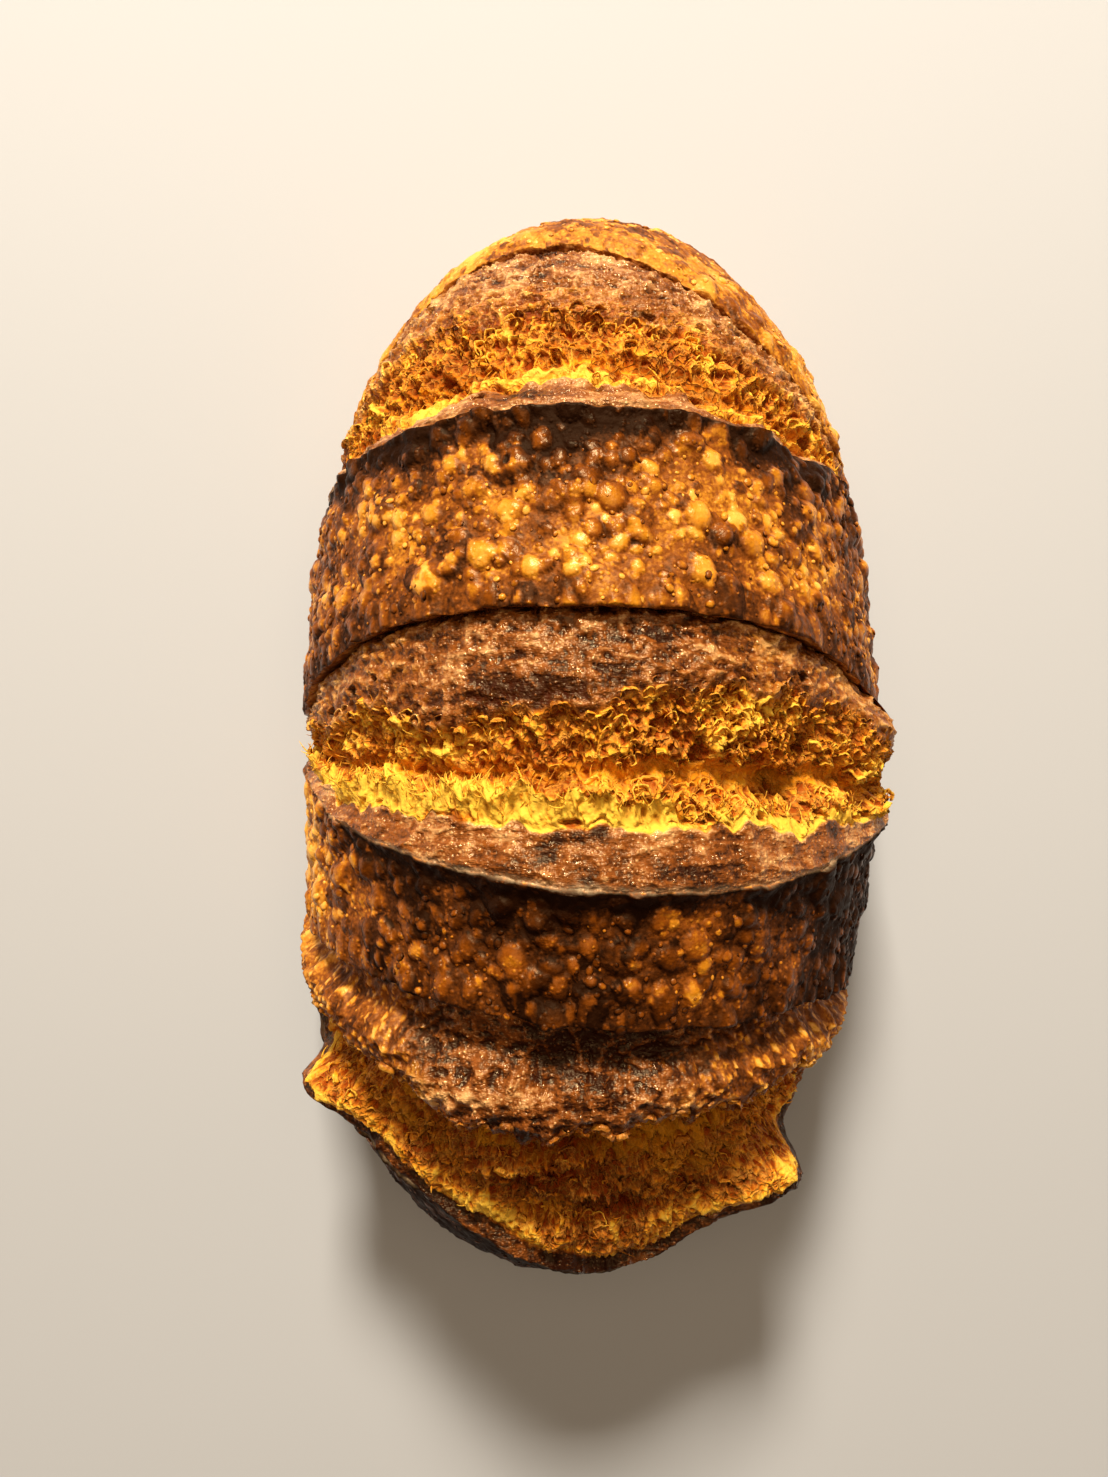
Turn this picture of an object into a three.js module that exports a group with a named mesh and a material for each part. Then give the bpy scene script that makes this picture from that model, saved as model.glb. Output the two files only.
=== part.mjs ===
// A hearth-baked sourdough loaf: a long tall oval with a flat base and three wide scored openings
// across its crown. Millimetres, +Z up, +Y along the loaf, origin at the middle of the base.
import * as THREE from "three";

// ---------------------------------------------------------------- the plain loaf
const LENGTH = 261;
const WIDTH = 145;
const HEIGHT = 106;
const WIDEST_LEVEL = 30; // height above the base where the loaf is widest
const PLAN_POWER = 2.3; // fullness of the outline from above, 2 is an ellipse
const ARCH_POWER = 2.15; // fullness of the crown line from end to end
const CROWN_POWER = 1.9; // fullness of a cross-section above the widest level
const BELLY_POWER = 2.2; // and below it
const BELLY_REACH = 1.6; // depth of the belly curve in widest levels, before the base cuts it flat
const BELLY_ARCH_POWER = 3.5; // how late the belly lifts off the hearth towards the ends
const BASE_EDGE = 3; // height over which the belly rounds into the base
const NEAR_END_BEND = -5.5; // the near end leans to the left
const BEND_START = -18;
const BEND_LENGTH = 76;

// ---------------------------------------------------------------- the scored openings
// Along the loaf in mm. Across it a place is a share q of the way from the crown (0) down the
// side to the base (1), negative on the left. Each opening runs from the undercut edge of the
// crust (far side) over a smooth skin, a frilled edge, torn crumb and a shelf to a raised rim.
// The skin's and the crumb's keys are [share of the way through it, height over the plain loaf].
const OPENINGS = [
  {
    rimY: 69.3, // the rim's most forward point along the loaf
    rimAt: -0.08, // and where across the crown it lies
    bowLeft: -30, // how far the rim bends along the loaf per q squared
    bowRight: -26,
    gap: 45, // greatest width of the opening along the loaf
    gapAt: -0.25,
    tipLeft: -0.75, // where the opening closes on each side
    tipRight: 0.6,
    taper: 2.6,
    frillLeft: 0.52, // the frilled edge, as a share of the gap counted from the rim
    frillRight: 0.54,
    frillWander: 0.7, // how much of the common wander it shows
    shelfLeast: 2, // width of the shelf behind the rim at its narrowest
    shelf: 6, // and what the widest place has on top of that
    shelfAt: -0.05,
    shelfSpread: 0.24,
    lift: 0.9, // the crust edge stands proud of the plain loaf
    undercut: 2.6, // depth of the skin just under the crust edge
    skin: [[0.13, -1], [0.4, -0.7], [0.8, -0.3]],
    frillLevel: -0.7,
    crumbLeft: [[0.12, -1.4], [0.45, -2.2], [0.7, -3.2], [0.88, -1.2]],
    crumbRight: [[0.12, -1.2], [0.45, -2], [0.7, -3], [0.88, -1.2]],
    shelfLevel: -1.8,
    rim: 1.8,
    bulges: [
      { q: 0.36, y: 66, wide: 0.05, long: 4, out: -5 },
      { q: -0.3, y: 76, wide: 0.04, long: 3, out: -3 },
    ],
  },
  {
    rimY: -28.6,
    rimAt: 0.12,
    bowLeft: 41,
    bowRight: 55,
    gap: 57,
    gapAt: 0.06,
    tipLeft: -0.72,
    tipRight: 0.68,
    taper: 2.3,
    frillLeft: 0.6,
    frillRight: 0.73,
    frillWander: 1,
    shelfLeast: 2,
    shelf: 11,
    shelfAt: 0.04,
    shelfSpread: 0.34,
    lift: 1.4,
    undercut: 3.6,
    skin: [[0.13, -1.5], [0.4, -1], [0.8, -0.2]],
    frillLevel: -0.3,
    crumbLeft: [[0.12, -2.2], [0.4, -3.2], [0.58, -5.4], [0.72, -0.3]],
    crumbRight: [[0.1, -1.4], [0.42, -1.6], [0.6, -6.4], [0.86, -0.6]],
    shelfLevel: -1,
    rim: 2.4,
    bulges: [
      { q: 0.5, y: 3, wide: 0.1, long: 9, out: 6 },
      { q: 0.52, y: -13, wide: 0.09, long: 8, out: 5 },
      { q: 0.33, y: 2, wide: 0.035, long: 5, out: -5 },
      { q: 0.28, y: -8, wide: 0.04, long: 6, out: -4 },
      { q: 0.12, y: -12, wide: 0.07, long: 5, out: -2 },
    ],
  },
  {
    rimY: -118,
    rimAt: 0.1,
    bowLeft: 88,
    bowRight: 105,
    gap: 63,
    gapAt: 0.06,
    tipLeft: -0.86,
    tipRight: 0.86,
    taper: 2.3,
    frillLeft: 0.6,
    frillRight: 0.68,
    frillWander: 1,
    shelfLeast: 1.2,
    shelf: 1.2,
    shelfAt: 0.05,
    shelfSpread: 0.6,
    lift: 1.2,
    undercut: 3.2,
    skin: [[0.13, -3], [0.4, -3.4], [0.78, 3], [0.92, 3]],
    frillLevel: 2.2,
    crumbLeft: [[0.07, -3], [0.2, -7.5], [0.44, -4.4], [0.66, -5.2], [0.92, 0.4]],
    crumbRight: [[0.07, -3], [0.24, -7.5], [0.48, -4.4], [0.66, -4.8], [0.92, 0.4]],
    shelfLevel: -0.8,
    rim: 2.6,
    bulges: [
      { q: -0.5, y: -72, wide: 0.12, long: 4, out: -4 },
      { q: -0.52, y: -81, wide: 0.12, long: 6, out: 9 },
      { q: 0.5, y: -91, wide: 0.1, long: 4, out: -3.5 },
      { q: 0.47, y: -102, wide: 0.11, long: 8, out: 12 },
      { q: -0.22, y: -93, wide: 0.12, long: 3, out: 3 },
      { q: 0.03, y: -100, wide: 0.13, long: 3, out: 3.5 },
      { q: -0.1, y: -105.5, wide: 0.09, long: 3, out: -3.5 },
    ],
  },
];
const CRUMB_TURN_AT = 0.02; // where the crumb passes from its left to its right levels
const CRUMB_TURN = 0.16;
const FRILL_TURN_AT = -0.2; // and the frilled edge from its left to its right place
const FRILL_TURN = 0.5;
const CLOSED_GAP = 8; // spacing kept between the edges past the openings' tips
const TIP_FADE = 14; // the relief dies away where the opening is narrower than this
const WALL_RUN = 0.8; // run along the loaf of the undercut wall
const OVERHANG = 2.2; // how far the crust edge hangs over the skin
const OVERHANG_RUN = 2; // run of the crust that leans out with it
const RIM_FALL = 7; // run over which the rim sinks into the next crust band
const RIM_SIDE_LOSS = 0.6; // share of its height that the rim loses down the sides
const RIM_SIDE_START = 0.6; // and the q by which it has lost it
const RIM_BASE_BOW = 0.35; // share of its bend that the rim line keeps under the base
const EDGE_RISE = 9; // run over which the crust lifts towards its edge
const SHELF_SHARE_LEAST = 0.02; // limits of the shelf's share of the gap
const SHELF_SHARE_MOST = 0.4;
const RELIEF_LEVEL = 14; // below this height relief dies away towards the smooth base edge

// ---------------------------------------------------------------- unevenness
const SWELL = 1.1; // broad unevenness of the crust
const SWELL_SIZE = 34;
const BLISTER_RISE = 1.2;
const BLISTER_SIZE = 11; // spacing of the blisters
const BLISTER_JITTER = 0.7; // how far they stray from an even grid, as shares of that spacing
const BLISTER_SMALLEST = 0.2;
const BLISTER_LARGEST = 0.6;
const RIM_WANDER = 0.4;
const RIM_WANDER_SIZE = 8;
const FRILL_WANDER = 2.4; // how far the frilled edge wanders along the loaf
const FRILL_SIZE = 9;
const LIP_WANDER = 1.6;
const LIP_SIZE = 12;
const CRUMB_ROUGH = 2.2;
const CRUMB_WIDE = 7; // size of the torn cells across the loaf and along it
const CRUMB_LONG = 12;
const SEED = 11;

// ---------------------------------------------------------------- mesh fineness
const CAP_ROWS = 8; // rows on each end cap, and between the edges of each strip
const WALL_ROWS = 2;
const SKIN_ROWS = 5;
const CRUMB_ROWS = 8;
const SHELF_ROWS = 2;
const BAND_ROWS = 9;
const CROWN_COLUMNS = 62;
const BASE_COLUMNS = 8;
const STEP_ALONG = 0.5; // steps over which a slope is measured, in mm and in q
const STEP_ACROSS = 0.004;

const HALF_LENGTH = LENGTH / 2;
const BELLY_SINE = Math.pow(1 / BELLY_REACH, BELLY_POWER / 2);
const SIDE_ANGLE = Math.PI / 2 + Math.asin(BELLY_SINE); // crown to base, in section angle
const BASE_Q = Math.PI / SIDE_ANGLE; // q at the middle of the base

// ---------------------------------------------------------------- small helpers
const clamp01 = (t) => Math.min(Math.max(t, 0), 1);
const smooth = (t) => clamp01(t) * clamp01(t) * (3 - 2 * clamp01(t));
const mix = (a, b, t) => a + (b - a) * t;
const bump = (d) => Math.exp(-d * d);
const signedPower = (v, p) => Math.sign(v) * Math.pow(Math.abs(v), p);

// A level that passes smoothly through its [place, level] keys.
function through(keys, t) {
  let level = keys[0][1];
  for (let i = 1; i < keys.length; i++) {
    const [start, low] = keys[i - 1];
    const [end, high] = keys[i];
    if (t > start) level = mix(low, high, smooth((t - start) / (end - start)));
  }
  return level;
}

// A repeatable random number from 0 to 1 for a cell of a grid.
function cellRandom(i, j, k, seed) {
  let h = Math.imul(i, 374761393) ^ Math.imul(j, 668265263) ^ Math.imul(k, 2147483629);
  h ^= Math.imul(seed, 1274126177);
  h = Math.imul(h ^ (h >>> 13), 1274126177);
  h = Math.imul(h ^ (h >>> 16), 2246822519);
  return ((h ^ (h >>> 15)) >>> 0) / 4294967296;
}

// Smooth noise from -1 to 1 with features about one unit wide.
function noise(x, y, z, seed) {
  const i = Math.floor(x);
  const j = Math.floor(y);
  const k = Math.floor(z);
  const u = smooth(x - i);
  const v = smooth(y - j);
  const w = smooth(z - k);
  let sum = 0;
  for (let corner = 0; corner < 8; corner++) {
    const a = corner & 1;
    const b = (corner >> 1) & 1;
    const c = corner >> 2;
    const weight = (a ? u : 1 - u) * (b ? v : 1 - v) * (c ? w : 1 - w);
    sum += weight * cellRandom(i + a, j + b, k + c, seed);
  }
  return 2 * sum - 1;
}

// ---------------------------------------------------------------- the plain loaf's surface
const bendAt = (y) => NEAR_END_BEND * smooth((BEND_START - y) / BEND_LENGTH);

function fullness(y, power) {
  return Math.pow(Math.max(1 - Math.pow(Math.abs(y) / HALF_LENGTH, power), 0), 1 / power);
}

// Cuts the belly curve off at the hearth, with a rounded edge and a truly flat base.
function onHearth(z) {
  if (z >= BASE_EDGE) return z;
  if (z <= -BASE_EDGE) return 0;
  return ((z + BASE_EDGE) * (z + BASE_EDGE)) / (4 * BASE_EDGE);
}

function plainPoint(y, q) {
  const angle = Math.PI / 2 - q * SIDE_ANGLE;
  const up = Math.sin(angle);
  const power = up > 0 ? CROWN_POWER : BELLY_POWER;
  const halfWidth = (WIDTH / 2) * fullness(y, PLAN_POWER);
  const x = bendAt(y) + halfWidth * signedPower(Math.cos(angle), 2 / power);
  const crown = (HEIGHT - WIDEST_LEVEL) * fullness(y, ARCH_POWER);
  const belly = WIDEST_LEVEL * BELLY_REACH * fullness(y, BELLY_ARCH_POWER);
  const z = WIDEST_LEVEL + (up > 0 ? crown : belly) * signedPower(up, 2 / power);
  return new THREE.Vector3(x, y, onHearth(z));
}

function plainNormal(y, q) {
  const dy = y > 0 ? -STEP_ALONG : STEP_ALONG;
  const alongLoaf = plainPoint(y + dy, q).sub(plainPoint(y, q)).divideScalar(dy);
  const across = plainPoint(y, q + STEP_ACROSS).sub(plainPoint(y, q - STEP_ACROSS));
  return new THREE.Vector3().crossVectors(across, alongLoaf).normalize();
}

// ---------------------------------------------------------------- the openings' edges
const acrossAt = (q) => (q * SIDE_ANGLE * WIDTH) / 2; // distance from the crown line in mm

const rimLine = (o, q) => o.rimY + (q < o.rimAt ? o.bowLeft : o.bowRight) * (q - o.rimAt) ** 2;

function openWidth(o, q) {
  const tip = q < o.gapAt ? o.tipLeft : o.tipRight;
  return o.gap * Math.max(1 - Math.pow(clamp01((q - o.gapAt) / (tip - o.gapAt)), o.taper), 0);
}

// The four edges of an opening at q: crust edge, frilled edge, shelf's inner edge and rim.
// Past the tips they run on down the side, where the rim line stops bending.
function edgesAt(o, index, q) {
  const side = Math.min(Math.max(q, o.tipLeft), o.tipRight);
  const fade = smooth((BASE_Q - Math.abs(q)) / (BASE_Q - 1));
  const gap = Math.hypot(openWidth(o, q), CLOSED_GAP);
  const open = smooth(openWidth(o, q) / TIP_FADE);
  const across = acrossAt(q);
  const straightRim = mix(o.rimY, rimLine(o, side), mix(RIM_BASE_BOW, 1, fade));
  const rim = straightRim + RIM_WANDER * noise(across / RIM_WANDER_SIZE, index, 0, SEED);
  const frillNoise = noise(across / FRILL_SIZE, index, 7, SEED + 1);
  const frillShare = mix(o.frillLeft, o.frillRight, smooth((q - FRILL_TURN_AT) / FRILL_TURN));
  const widening = o.shelf * bump((q - o.shelfAt) / o.shelfSpread);
  const lipNoise = noise(across / LIP_SIZE, index, 3, SEED + 2);
  const shelfShare = (o.shelfLeast + open * (widening + LIP_WANDER * lipNoise)) / gap;
  return {
    rim,
    crust: rim + gap,
    frill: rim + gap * frillShare + FRILL_WANDER * o.frillWander * open * frillNoise,
    shelf: rim + gap * Math.min(Math.max(shelfShare, SHELF_SHARE_LEAST), SHELF_SHARE_MOST),
    open,
  };
}

// ---------------------------------------------------------------- relief
// Height of the round blisters on the crust: spheres spread evenly through space, of which only
// those that lie near the surface push it out.
function blisterRise(point) {
  const cell = [point.x, point.y, point.z].map((v) => Math.floor(v / BLISTER_SIZE));
  let rise = 0;
  for (let n = 0; n < 27; n++) {
    const i = cell[0] - 1 + (n % 3);
    const j = cell[1] - 1 + (Math.floor(n / 3) % 3);
    const k = cell[2] - 1 + Math.floor(n / 9);
    const stray = (axis) => 0.5 + BLISTER_JITTER * (cellRandom(i, j, k, SEED + 10 + axis) - 0.5);
    const centre = new THREE.Vector3(i + stray(0), j + stray(1), k + stray(2));
    centre.multiplyScalar(BLISTER_SIZE);
    const share = mix(BLISTER_SMALLEST, BLISTER_LARGEST, cellRandom(i, j, k, SEED + 14));
    const radius = BLISTER_SIZE * share;
    const reach = 1 - centre.distanceToSquared(point) / (radius * radius);
    if (reach > 0) rise = Math.max(rise, BLISTER_RISE * Math.sqrt(reach));
  }
  return rise;
}

const crumbRelief = (across, y) =>
  CRUMB_ROUGH * noise(across / CRUMB_WIDE, y / CRUMB_LONG, 5, SEED + 3) +
  0.5 * CRUMB_ROUGH * noise((2 * across) / CRUMB_WIDE, (2 * y) / CRUMB_LONG, 9, SEED + 4);

// Flared lips, lobes and pits push straight out from the loaf's middle line, not along it.
function bulgeOut(o, y, q) {
  let out = 0;
  for (const b of o.bulges) out += b.out * bump((q - b.q) / b.wide) * bump((y - b.y) / b.long);
  return out;
}

// ---------------------------------------------------------------- strips
// The loaf is a stack of strips from its far end to its near end. Each strip gives, for a share t
// of the way through it at q, the place y along the loaf, the height over the plain loaf, the flare
// outwards and how far the point is pulled towards the near end.
// The rim stands proud of the crust behind it, less so down the sides.
const rimLevel = (o, q) => o.rim * (1 - RIM_SIDE_LOSS * smooth(Math.abs(q) / RIM_SIDE_START));

function crustHeight(y, q, before, after) {
  let height = 0;
  if (after) height += after.o.lift * after.e.open * bump((y - after.e.crust) / EDGE_RISE);
  if (before) {
    const past = (before.e.rim - y) / RIM_FALL;
    height += rimLevel(before.o, q) * before.e.open * Math.max(1 - past, 0) ** 2;
  }
  return height;
}

function crustFlare(y, q, before) {
  if (!before) return 0;
  return bulgeOut(before.o, before.e.rim, q) * Math.max(1 - (before.e.rim - y) / RIM_FALL, 0) ** 2;
}

function crustStrip(rows, start, end, before, after) {
  return {
    rows,
    crust: 1,
    at(t, q) {
      const b = before && { o: before.o, e: edgesAt(before.o, before.index, q) };
      const a = after && { o: after.o, e: edgesAt(after.o, after.index, q) };
      // even steps of angle keep the rows apart near the rounded ends
      const from = Math.asin((b ? b.e.rim : start) / HALF_LENGTH);
      const to = Math.asin((a ? a.e.crust : end) / HALF_LENGTH);
      const y = HALF_LENGTH * Math.sin(mix(from, to, t));
      const pull = a ? OVERHANG * a.e.open * bump((y - a.e.crust) / OVERHANG_RUN) : 0;
      return { y, height: crustHeight(y, q, b, a), flare: crustFlare(y, q, b), pull };
    },
  };
}

// The crumb's keys at q, between those of its left and of its right side.
function crumbKeys(o, q) {
  const turn = smooth((q - CRUMB_TURN_AT) / CRUMB_TURN);
  const between = o.crumbLeft.map(([t, level], n) => {
    const [rightT, rightLevel] = o.crumbRight[n];
    return [mix(t, rightT, turn), mix(level, rightLevel, turn)];
  });
  return [[0, o.frillLevel], ...between, [1, o.shelfLevel]];
}

function openingStrips({ o, index }) {
  const strip = (rows, crumb, place, height, pull) => ({
    rows,
    crumb,
    at(t, q) {
      const e = edgesAt(o, index, q);
      const y = place(e, t);
      const flare = bulgeOut(o, y, q);
      return { y, height: height(t, q) * e.open, flare, pull: pull(t) * e.open, open: e.open };
    },
  });
  const wallEnd = (e) => e.crust - WALL_RUN;
  const skinKeys = [[0, -o.undercut], ...o.skin, [1, o.frillLevel]];
  return [
    strip(
      WALL_ROWS,
      0,
      (e, t) => mix(e.crust, wallEnd(e), t),
      (t) => mix(o.lift, -o.undercut, smooth(t)),
      (t) => OVERHANG * (1 - smooth(t)),
    ),
    strip(
      SKIN_ROWS,
      0,
      (e, t) => mix(wallEnd(e), e.frill, t),
      (t) => through(skinKeys, t),
      () => 0,
    ),
    strip(
      CRUMB_ROWS,
      1,
      (e, t) => mix(e.frill, e.shelf, t),
      (t, q) => through(crumbKeys(o, q), t),
      () => 0,
    ),
    strip(
      SHELF_ROWS,
      0,
      (e, t) => mix(e.shelf, e.rim, t),
      (t, q) => mix(o.shelfLevel, rimLevel(o, q), smooth(t)),
      () => 0,
    ),
  ];
}

function allStrips() {
  const strips = [];
  let before = null;
  OPENINGS.forEach((o, index) => {
    const after = { o, index };
    strips.push(crustStrip(before ? BAND_ROWS : CAP_ROWS, HALF_LENGTH, 0, before, after));
    strips.push(...openingStrips(after));
    before = after;
  });
  strips.push(crustStrip(CAP_ROWS, 0, -HALF_LENGTH, before, null));
  return strips;
}

function surfacePoint(strip, t, q) {
  const { y, height, flare, pull, open = 1 } = strip.at(t, q);
  const point = plainPoint(y, q);
  const normal = plainNormal(y, q);
  const outward = new THREE.Vector3(normal.x, 0, normal.z).normalize();
  const shown = smooth(point.z / RELIEF_LEVEL);
  const [x, along, z] = [point.x, point.y, point.z].map((v) => v / SWELL_SIZE);
  let rough = SWELL * noise(x, along, z, SEED + 5);
  if (strip.crust) rough += blisterRise(point);
  if (strip.crumb) rough += open * Math.sin(Math.PI * t) * crumbRelief(acrossAt(q), y);
  point.addScaledVector(normal, (height + rough) * shown);
  point.addScaledVector(outward, flare * shown);
  point.y -= pull * shown;
  return point;
}

// ---------------------------------------------------------------- mesh
// Section places from the middle of the base, up the left side, over the crown and back.
function sectionPlaces() {
  const places = [];
  for (let i = 0; i < BASE_COLUMNS / 2; i++) places.push(mix(-BASE_Q, -1, i / (BASE_COLUMNS / 2)));
  for (let i = 0; i < CROWN_COLUMNS; i++) places.push(mix(-1, 1, i / CROWN_COLUMNS));
  for (let i = 0; i < BASE_COLUMNS / 2; i++) places.push(mix(1, BASE_Q, i / (BASE_COLUMNS / 2)));
  return places;
}

function loafGeometry() {
  const places = sectionPlaces();
  const columns = places.length;
  const points = [new THREE.Vector3(0, HALF_LENGTH, WIDEST_LEVEL)];
  const strips = allStrips();
  strips.forEach((strip, s) => {
    const last = s === strips.length - 1 ? strip.rows - 1 : strip.rows;
    for (let row = 1; row <= last; row++) {
      for (const q of places) points.push(surfacePoint(strip, row / strip.rows, q));
    }
  });
  points.push(new THREE.Vector3(bendAt(-HALF_LENGTH), -HALF_LENGTH, WIDEST_LEVEL));

  const rows = (points.length - 2) / columns;
  const vertex = (row, column) => 1 + row * columns + (column % columns);
  const faces = [];
  for (let column = 0; column < columns; column++) {
    faces.push(0, vertex(0, column), vertex(0, column + 1));
    for (let row = 0; row < rows - 1; row++) {
      const a = vertex(row, column);
      const b = vertex(row, column + 1);
      const c = vertex(row + 1, column + 1);
      const d = vertex(row + 1, column);
      faces.push(a, d, c, a, c, b);
    }
    faces.push(points.length - 1, vertex(rows - 1, column + 1), vertex(rows - 1, column));
  }

  const geometry = new THREE.BufferGeometry().setFromPoints(points);
  geometry.setIndex(faces);
  geometry.computeBoundingBox();
  const middle = geometry.boundingBox.getCenter(new THREE.Vector3());
  geometry.translate(-middle.x, -middle.y, -geometry.boundingBox.min.z);
  geometry.computeVertexNormals();
  return geometry;
}

const crust = new THREE.MeshStandardMaterial({ color: 0xb8651a, roughness: 0.55, metalness: 0 });
const loaf = new THREE.Mesh(loafGeometry(), crust);
loaf.name = "loaf";

const group = new THREE.Group();
group.add(loaf);
export default group;
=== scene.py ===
import functools
import math
from types import SimpleNamespace

import bpy
import numpy as np
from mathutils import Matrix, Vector


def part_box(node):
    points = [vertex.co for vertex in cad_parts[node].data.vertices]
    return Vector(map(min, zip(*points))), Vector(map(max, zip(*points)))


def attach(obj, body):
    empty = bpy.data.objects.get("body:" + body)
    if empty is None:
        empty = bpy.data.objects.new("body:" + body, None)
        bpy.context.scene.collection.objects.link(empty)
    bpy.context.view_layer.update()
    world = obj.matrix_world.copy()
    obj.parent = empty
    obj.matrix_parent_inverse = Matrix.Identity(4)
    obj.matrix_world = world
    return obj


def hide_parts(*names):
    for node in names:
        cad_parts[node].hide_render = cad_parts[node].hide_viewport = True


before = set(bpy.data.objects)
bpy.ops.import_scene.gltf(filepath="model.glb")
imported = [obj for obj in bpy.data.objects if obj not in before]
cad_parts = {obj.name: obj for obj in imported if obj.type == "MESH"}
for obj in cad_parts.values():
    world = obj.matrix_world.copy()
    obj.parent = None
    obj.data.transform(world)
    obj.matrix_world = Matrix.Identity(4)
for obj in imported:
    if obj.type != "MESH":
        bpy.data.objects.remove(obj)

bl_info = {
    "name": "Scored sourdough loaf",
    "version": (1, 0, 0),
    "blender": (4, 5, 0),
    "location": "3D View > Sidebar > Loaf",
    "description": "Builds a hearth-baked loaf with three torn openings in the CAD frame",
    "category": "Object",
}

# ------------------------------------------------------------------ the plain loaf, in mm
MM = 0.001
CAD_LOW, CAD_HIGH = (np.array(corner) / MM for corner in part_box("loaf"))
LENGTH = 261
WIDTH = 145
HEIGHT = 106
WIDEST_LEVEL = 30
PLAN_POWER = 2.3
ARCH_POWER = 2.15
CROWN_POWER = 1.9
BELLY_POWER = 2.2
BELLY_REACH = 1.6
BELLY_ARCH_POWER = 3.5
BASE_EDGE = 3
NEAR_END_BEND = -5.5
BEND_START = -18
BEND_LENGTH = 76

HALF_LENGTH = LENGTH / 2
BELLY_SINE = (1 / BELLY_REACH) ** (BELLY_POWER / 2)
SIDE_ANGLE = math.pi / 2 + math.asin(BELLY_SINE)  # crown to base, in section angle
BASE_Q = math.pi / SIDE_ANGLE  # q at the middle of the base

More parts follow.
